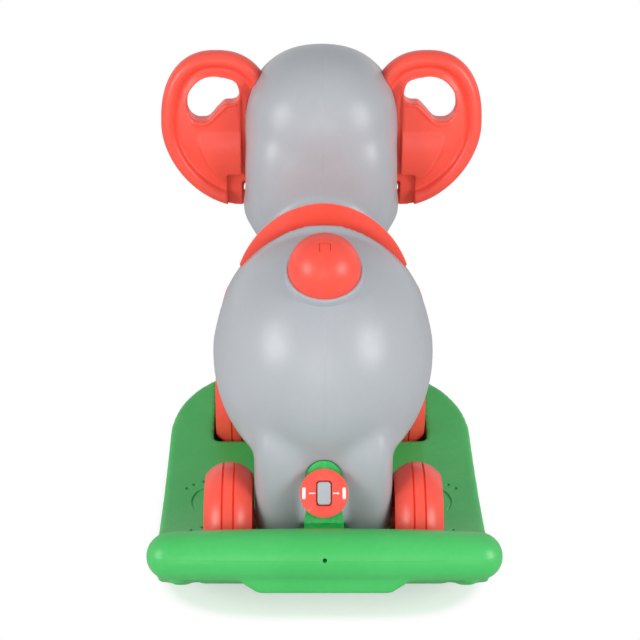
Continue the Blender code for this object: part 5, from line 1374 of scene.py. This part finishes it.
def hubCapProfile():
    low = toy["wheelOuterX"] - wheel["capDepth"] + seatGap
    top = toy["wheelOuterX"]
    radius = wheel["hubCapRadius"]
    dome = arcPoints((radius - 0.0014, top - 0.0030), (0.0014, 0.0014), 0, math.pi / 3, 4)
    dome += [(radius * 0.72, top - 0.0008), (radius * 0.5, top - 0.0001), (radius * 0.25, top + 0.00015)]
    return [(radius - 0.002, low), (radius, low)] + dome + [
        (0, top + 0.0002), (0, top - 0.0030), (radius - 0.004, top - 0.0038), (radius - 0.002, top - 0.0052)]


def makeRunningGear():
    for axleY, end in zip(toy["axleYs"], ("Front", "Rear")):
        for side, hand in hands:
            place = frameAt((0, axleY, toy["axleZ"]), (side, 0, 0))
            body = f"wheel_{end}_{hand}_set".lower()
            item = pieceFrom(turned(wheelProfile(), place, 112), f"wheel{end}{hand}")
            settle(item, body, "redPanel", f"wheel_{end}_{hand}".lower(), angle=32)
            item = pieceFrom(turned(hubCapProfile(), place, 64), f"hubCap{end}{hand}")
            settle(item, body, "whiteCap", f"hub_cap_{end}_{hand}".lower(), angle=40)


makeRunningGear()


# ---- bracket and knob ----


def makeLatchPlate():
    half = bracket["halfWidth"]
    radius = bracket["bossRadius"]
    footHalf = half + bracket["flare"]
    leave = math.acos(half / radius)
    flareEnd = -bracket["fold"] + 0.003
    outline = [(-half, -radius * 0.75), (-footHalf, flareEnd), (-footHalf, -bracket["fold"])]
    outline += [(footHalf, -bracket["fold"]), (footHalf, flareEnd), (half, -radius * 0.75)]
    outline += arcPoints((0, 0), (radius, radius), -leave, leave, 20)
    outline += arcPoints((0, bracket["top"] - half), (half, half), 0, math.pi, 40)
    outline += arcPoints((0, 0), (radius, radius), math.pi - leave, math.pi + leave, 20)
    plate = pieceFrom(prism(outline, bracketFront, bracketRear, latchPlace), "latchPlate")
    rear = latchPlace @ Vector((0, -bracket["fold"] + 0.002, bracketRear))
    front = latchPlace @ Vector((0, -bracket["fold"] + 0.002, bracketFront))
    under = footZ - bracket["thickness"]
    legFront = legRearY - bracket["thickness"]
    foot = ((front.y, front.z), (front.y + 0.002, under), (legFront, under), (legFront, bracket["legBottomZ"]),
            (legRearY, bracket["legBottomZ"]), (legRearY, under),
            (bracket["footY"], under), (bracket["footY"], footZ),
            (rear.y + 0.001, footZ), (rear.y, rear.z))
    weld(plate, prism(foot, -footHalf, footHalf, sideways), "EXACT")
    rounded(plate, bracket["edgeRound"], 3, 35)
    carve(plate, latchRod(0, -0.03, 0.03, knob["spindleRadius"] + knob["runGap"]), "EXACT")
    for seat in bracketScrews:
        carve(plate, screwHole(seat, 0.01), "EXACT")
    return settle(plate, "base", "deepGreenPlate", "latch_bracket", angle=35)


def makeKnobDisc():
    radius = knob["radius"]
    depth = knob["thickness"]
    disc = pieceFrom(turned(((0, -depth), (radius, -depth), (radius, 0), (0, 0)), latchPlace, 120), "knobDisc")
    for side in (1, -1):
        for up in (1, -1):
            lowX, highX = sorted((side * knob["flatX"], side * (radius + 0.003)))
            lowY, highY = sorted((up * knob["tabHeight"] / 2, up * radius))
            carve(disc, moved(block((lowX, lowY, -depth - 0.003), (highX, highY, 0.003)), latchPlace), "EXACT")
    spare = knob["keySpare"]
    pocket = roundedRectangle(knob["keyHalf"][0] + spare, knob["keyHalf"][1] + spare, knob["keyCorner"])
    carve(disc, prism(pocket, -knob["pocketDepth"], 0.01, latchPlace), "EXACT")
    rounded(disc, knob["edgeRound"], 3, 40)
    carve(disc, latchRod(0, -0.02, 0, knob["spindleRadius"] + seatGap), "EXACT")
    return settle(disc, "latch", "redPanel", "lock_knob", angle=35)


def makeKeyButton():
    half = knob["keyHalf"]
    base = -knob["pocketDepth"] + seatGap
    outline = roundedRectangle(*half, knob["keyCorner"])
    key = pieceFrom(prism(outline, base, knob["keyProud"], latchPlace), "keyButton")
    rounded(key, knob["keyRound"], 4, 50)
    weld(key, latchRod(0, camRear + seatGap, base + 0.001, knob["spindleRadius"]), "EXACT")
    seat = latchPlace @ Vector((0, 0, camFront - seatGap))
    end = seat + latchOut * (screw["length"] + seatGap * 2)
    carve(key, rod(seat, end, screw["shankRadius"] + seatGap, 24), "EXACT")
    return settle(key, "latch", "greyButton", "lock_spindle", angle=40)


makeLatchPlate()
makeKnobDisc()
makeKeyButton()


# ---- plain marks on the knob ----

marks = {"proud": 0.00012, "deep": 0.0004, "barX": 0.0189, "barHalf": (0.0016, 0.0054), "lineHalf": 0.00055,
         "dash": (-0.0142, -0.0083), "arrow": (0.0085, 0.0147), "arrowHead": 0.0022, "barLean": math.radians(1.0)}


def makeMarks():
    low = -marks["deep"]
    high = marks["proud"]
    line = marks["lineHalf"]
    shapes = []
    for side in (1, -1):
        bar = roundedRectangle(*marks["barHalf"], 0.0012, 4)
        lean = Matrix.Rotation(side * marks["barLean"], 4, "Z")
        shapes.append(prism(bar, low, high, latchPlace @ Matrix.Translation((side * marks["barX"], 0, 0)) @ lean))
    left, right = marks["dash"]
    dash = roundedRectangle((right - left) / 2, line, line * 0.6, 3)
    shapes.append(prism(dash, low, high, latchPlace @ Matrix.Translation(((left + right) / 2, 0, 0))))
    left, right = marks["arrow"]
    head = marks["arrowHead"]
    arrow = ((left, -line), (right - head, -line), (right - head, -head * 0.62), (right, 0),
             (right - head, head * 0.62), (right - head, line), (left, line))
    shapes.append(prism(arrow, low, high, latchPlace))
    item = joined("knobMarks", shapes)
    return settle(item, "latch", "whiteInlay", angle=35)


makeMarks()


# ---- small parts that keep their CAD shape ----

wheelNames = [f"{end}_{hand}" for end in ("front", "rear") for hand in ("left", "right")]
plainParts = {
    "nylonBush": ["lock_cam"] + [f"axle_bush_{name}" for name in wheelNames],
    "zincSteel": ["front_axle", "rear_axle", "lock_cam_screw", "tail_screw", "ear_screw_left", "ear_screw_right",
                  "bracket_screw_1", "bracket_screw_2"] + [f"saddle_screw_{k}" for k in (1, 2, 3, 4)]
                 + [f"push_nut_{name}" for name in wheelNames],
}
for look, names in plainParts.items():
    for name in names:
        item = nodes[name]
        if not item.material_slots:
            item.data.materials.append(looks[look])
        for place in item.material_slots:
            place.link = "OBJECT"
            place.material = looks[look]
print("small parts finished")
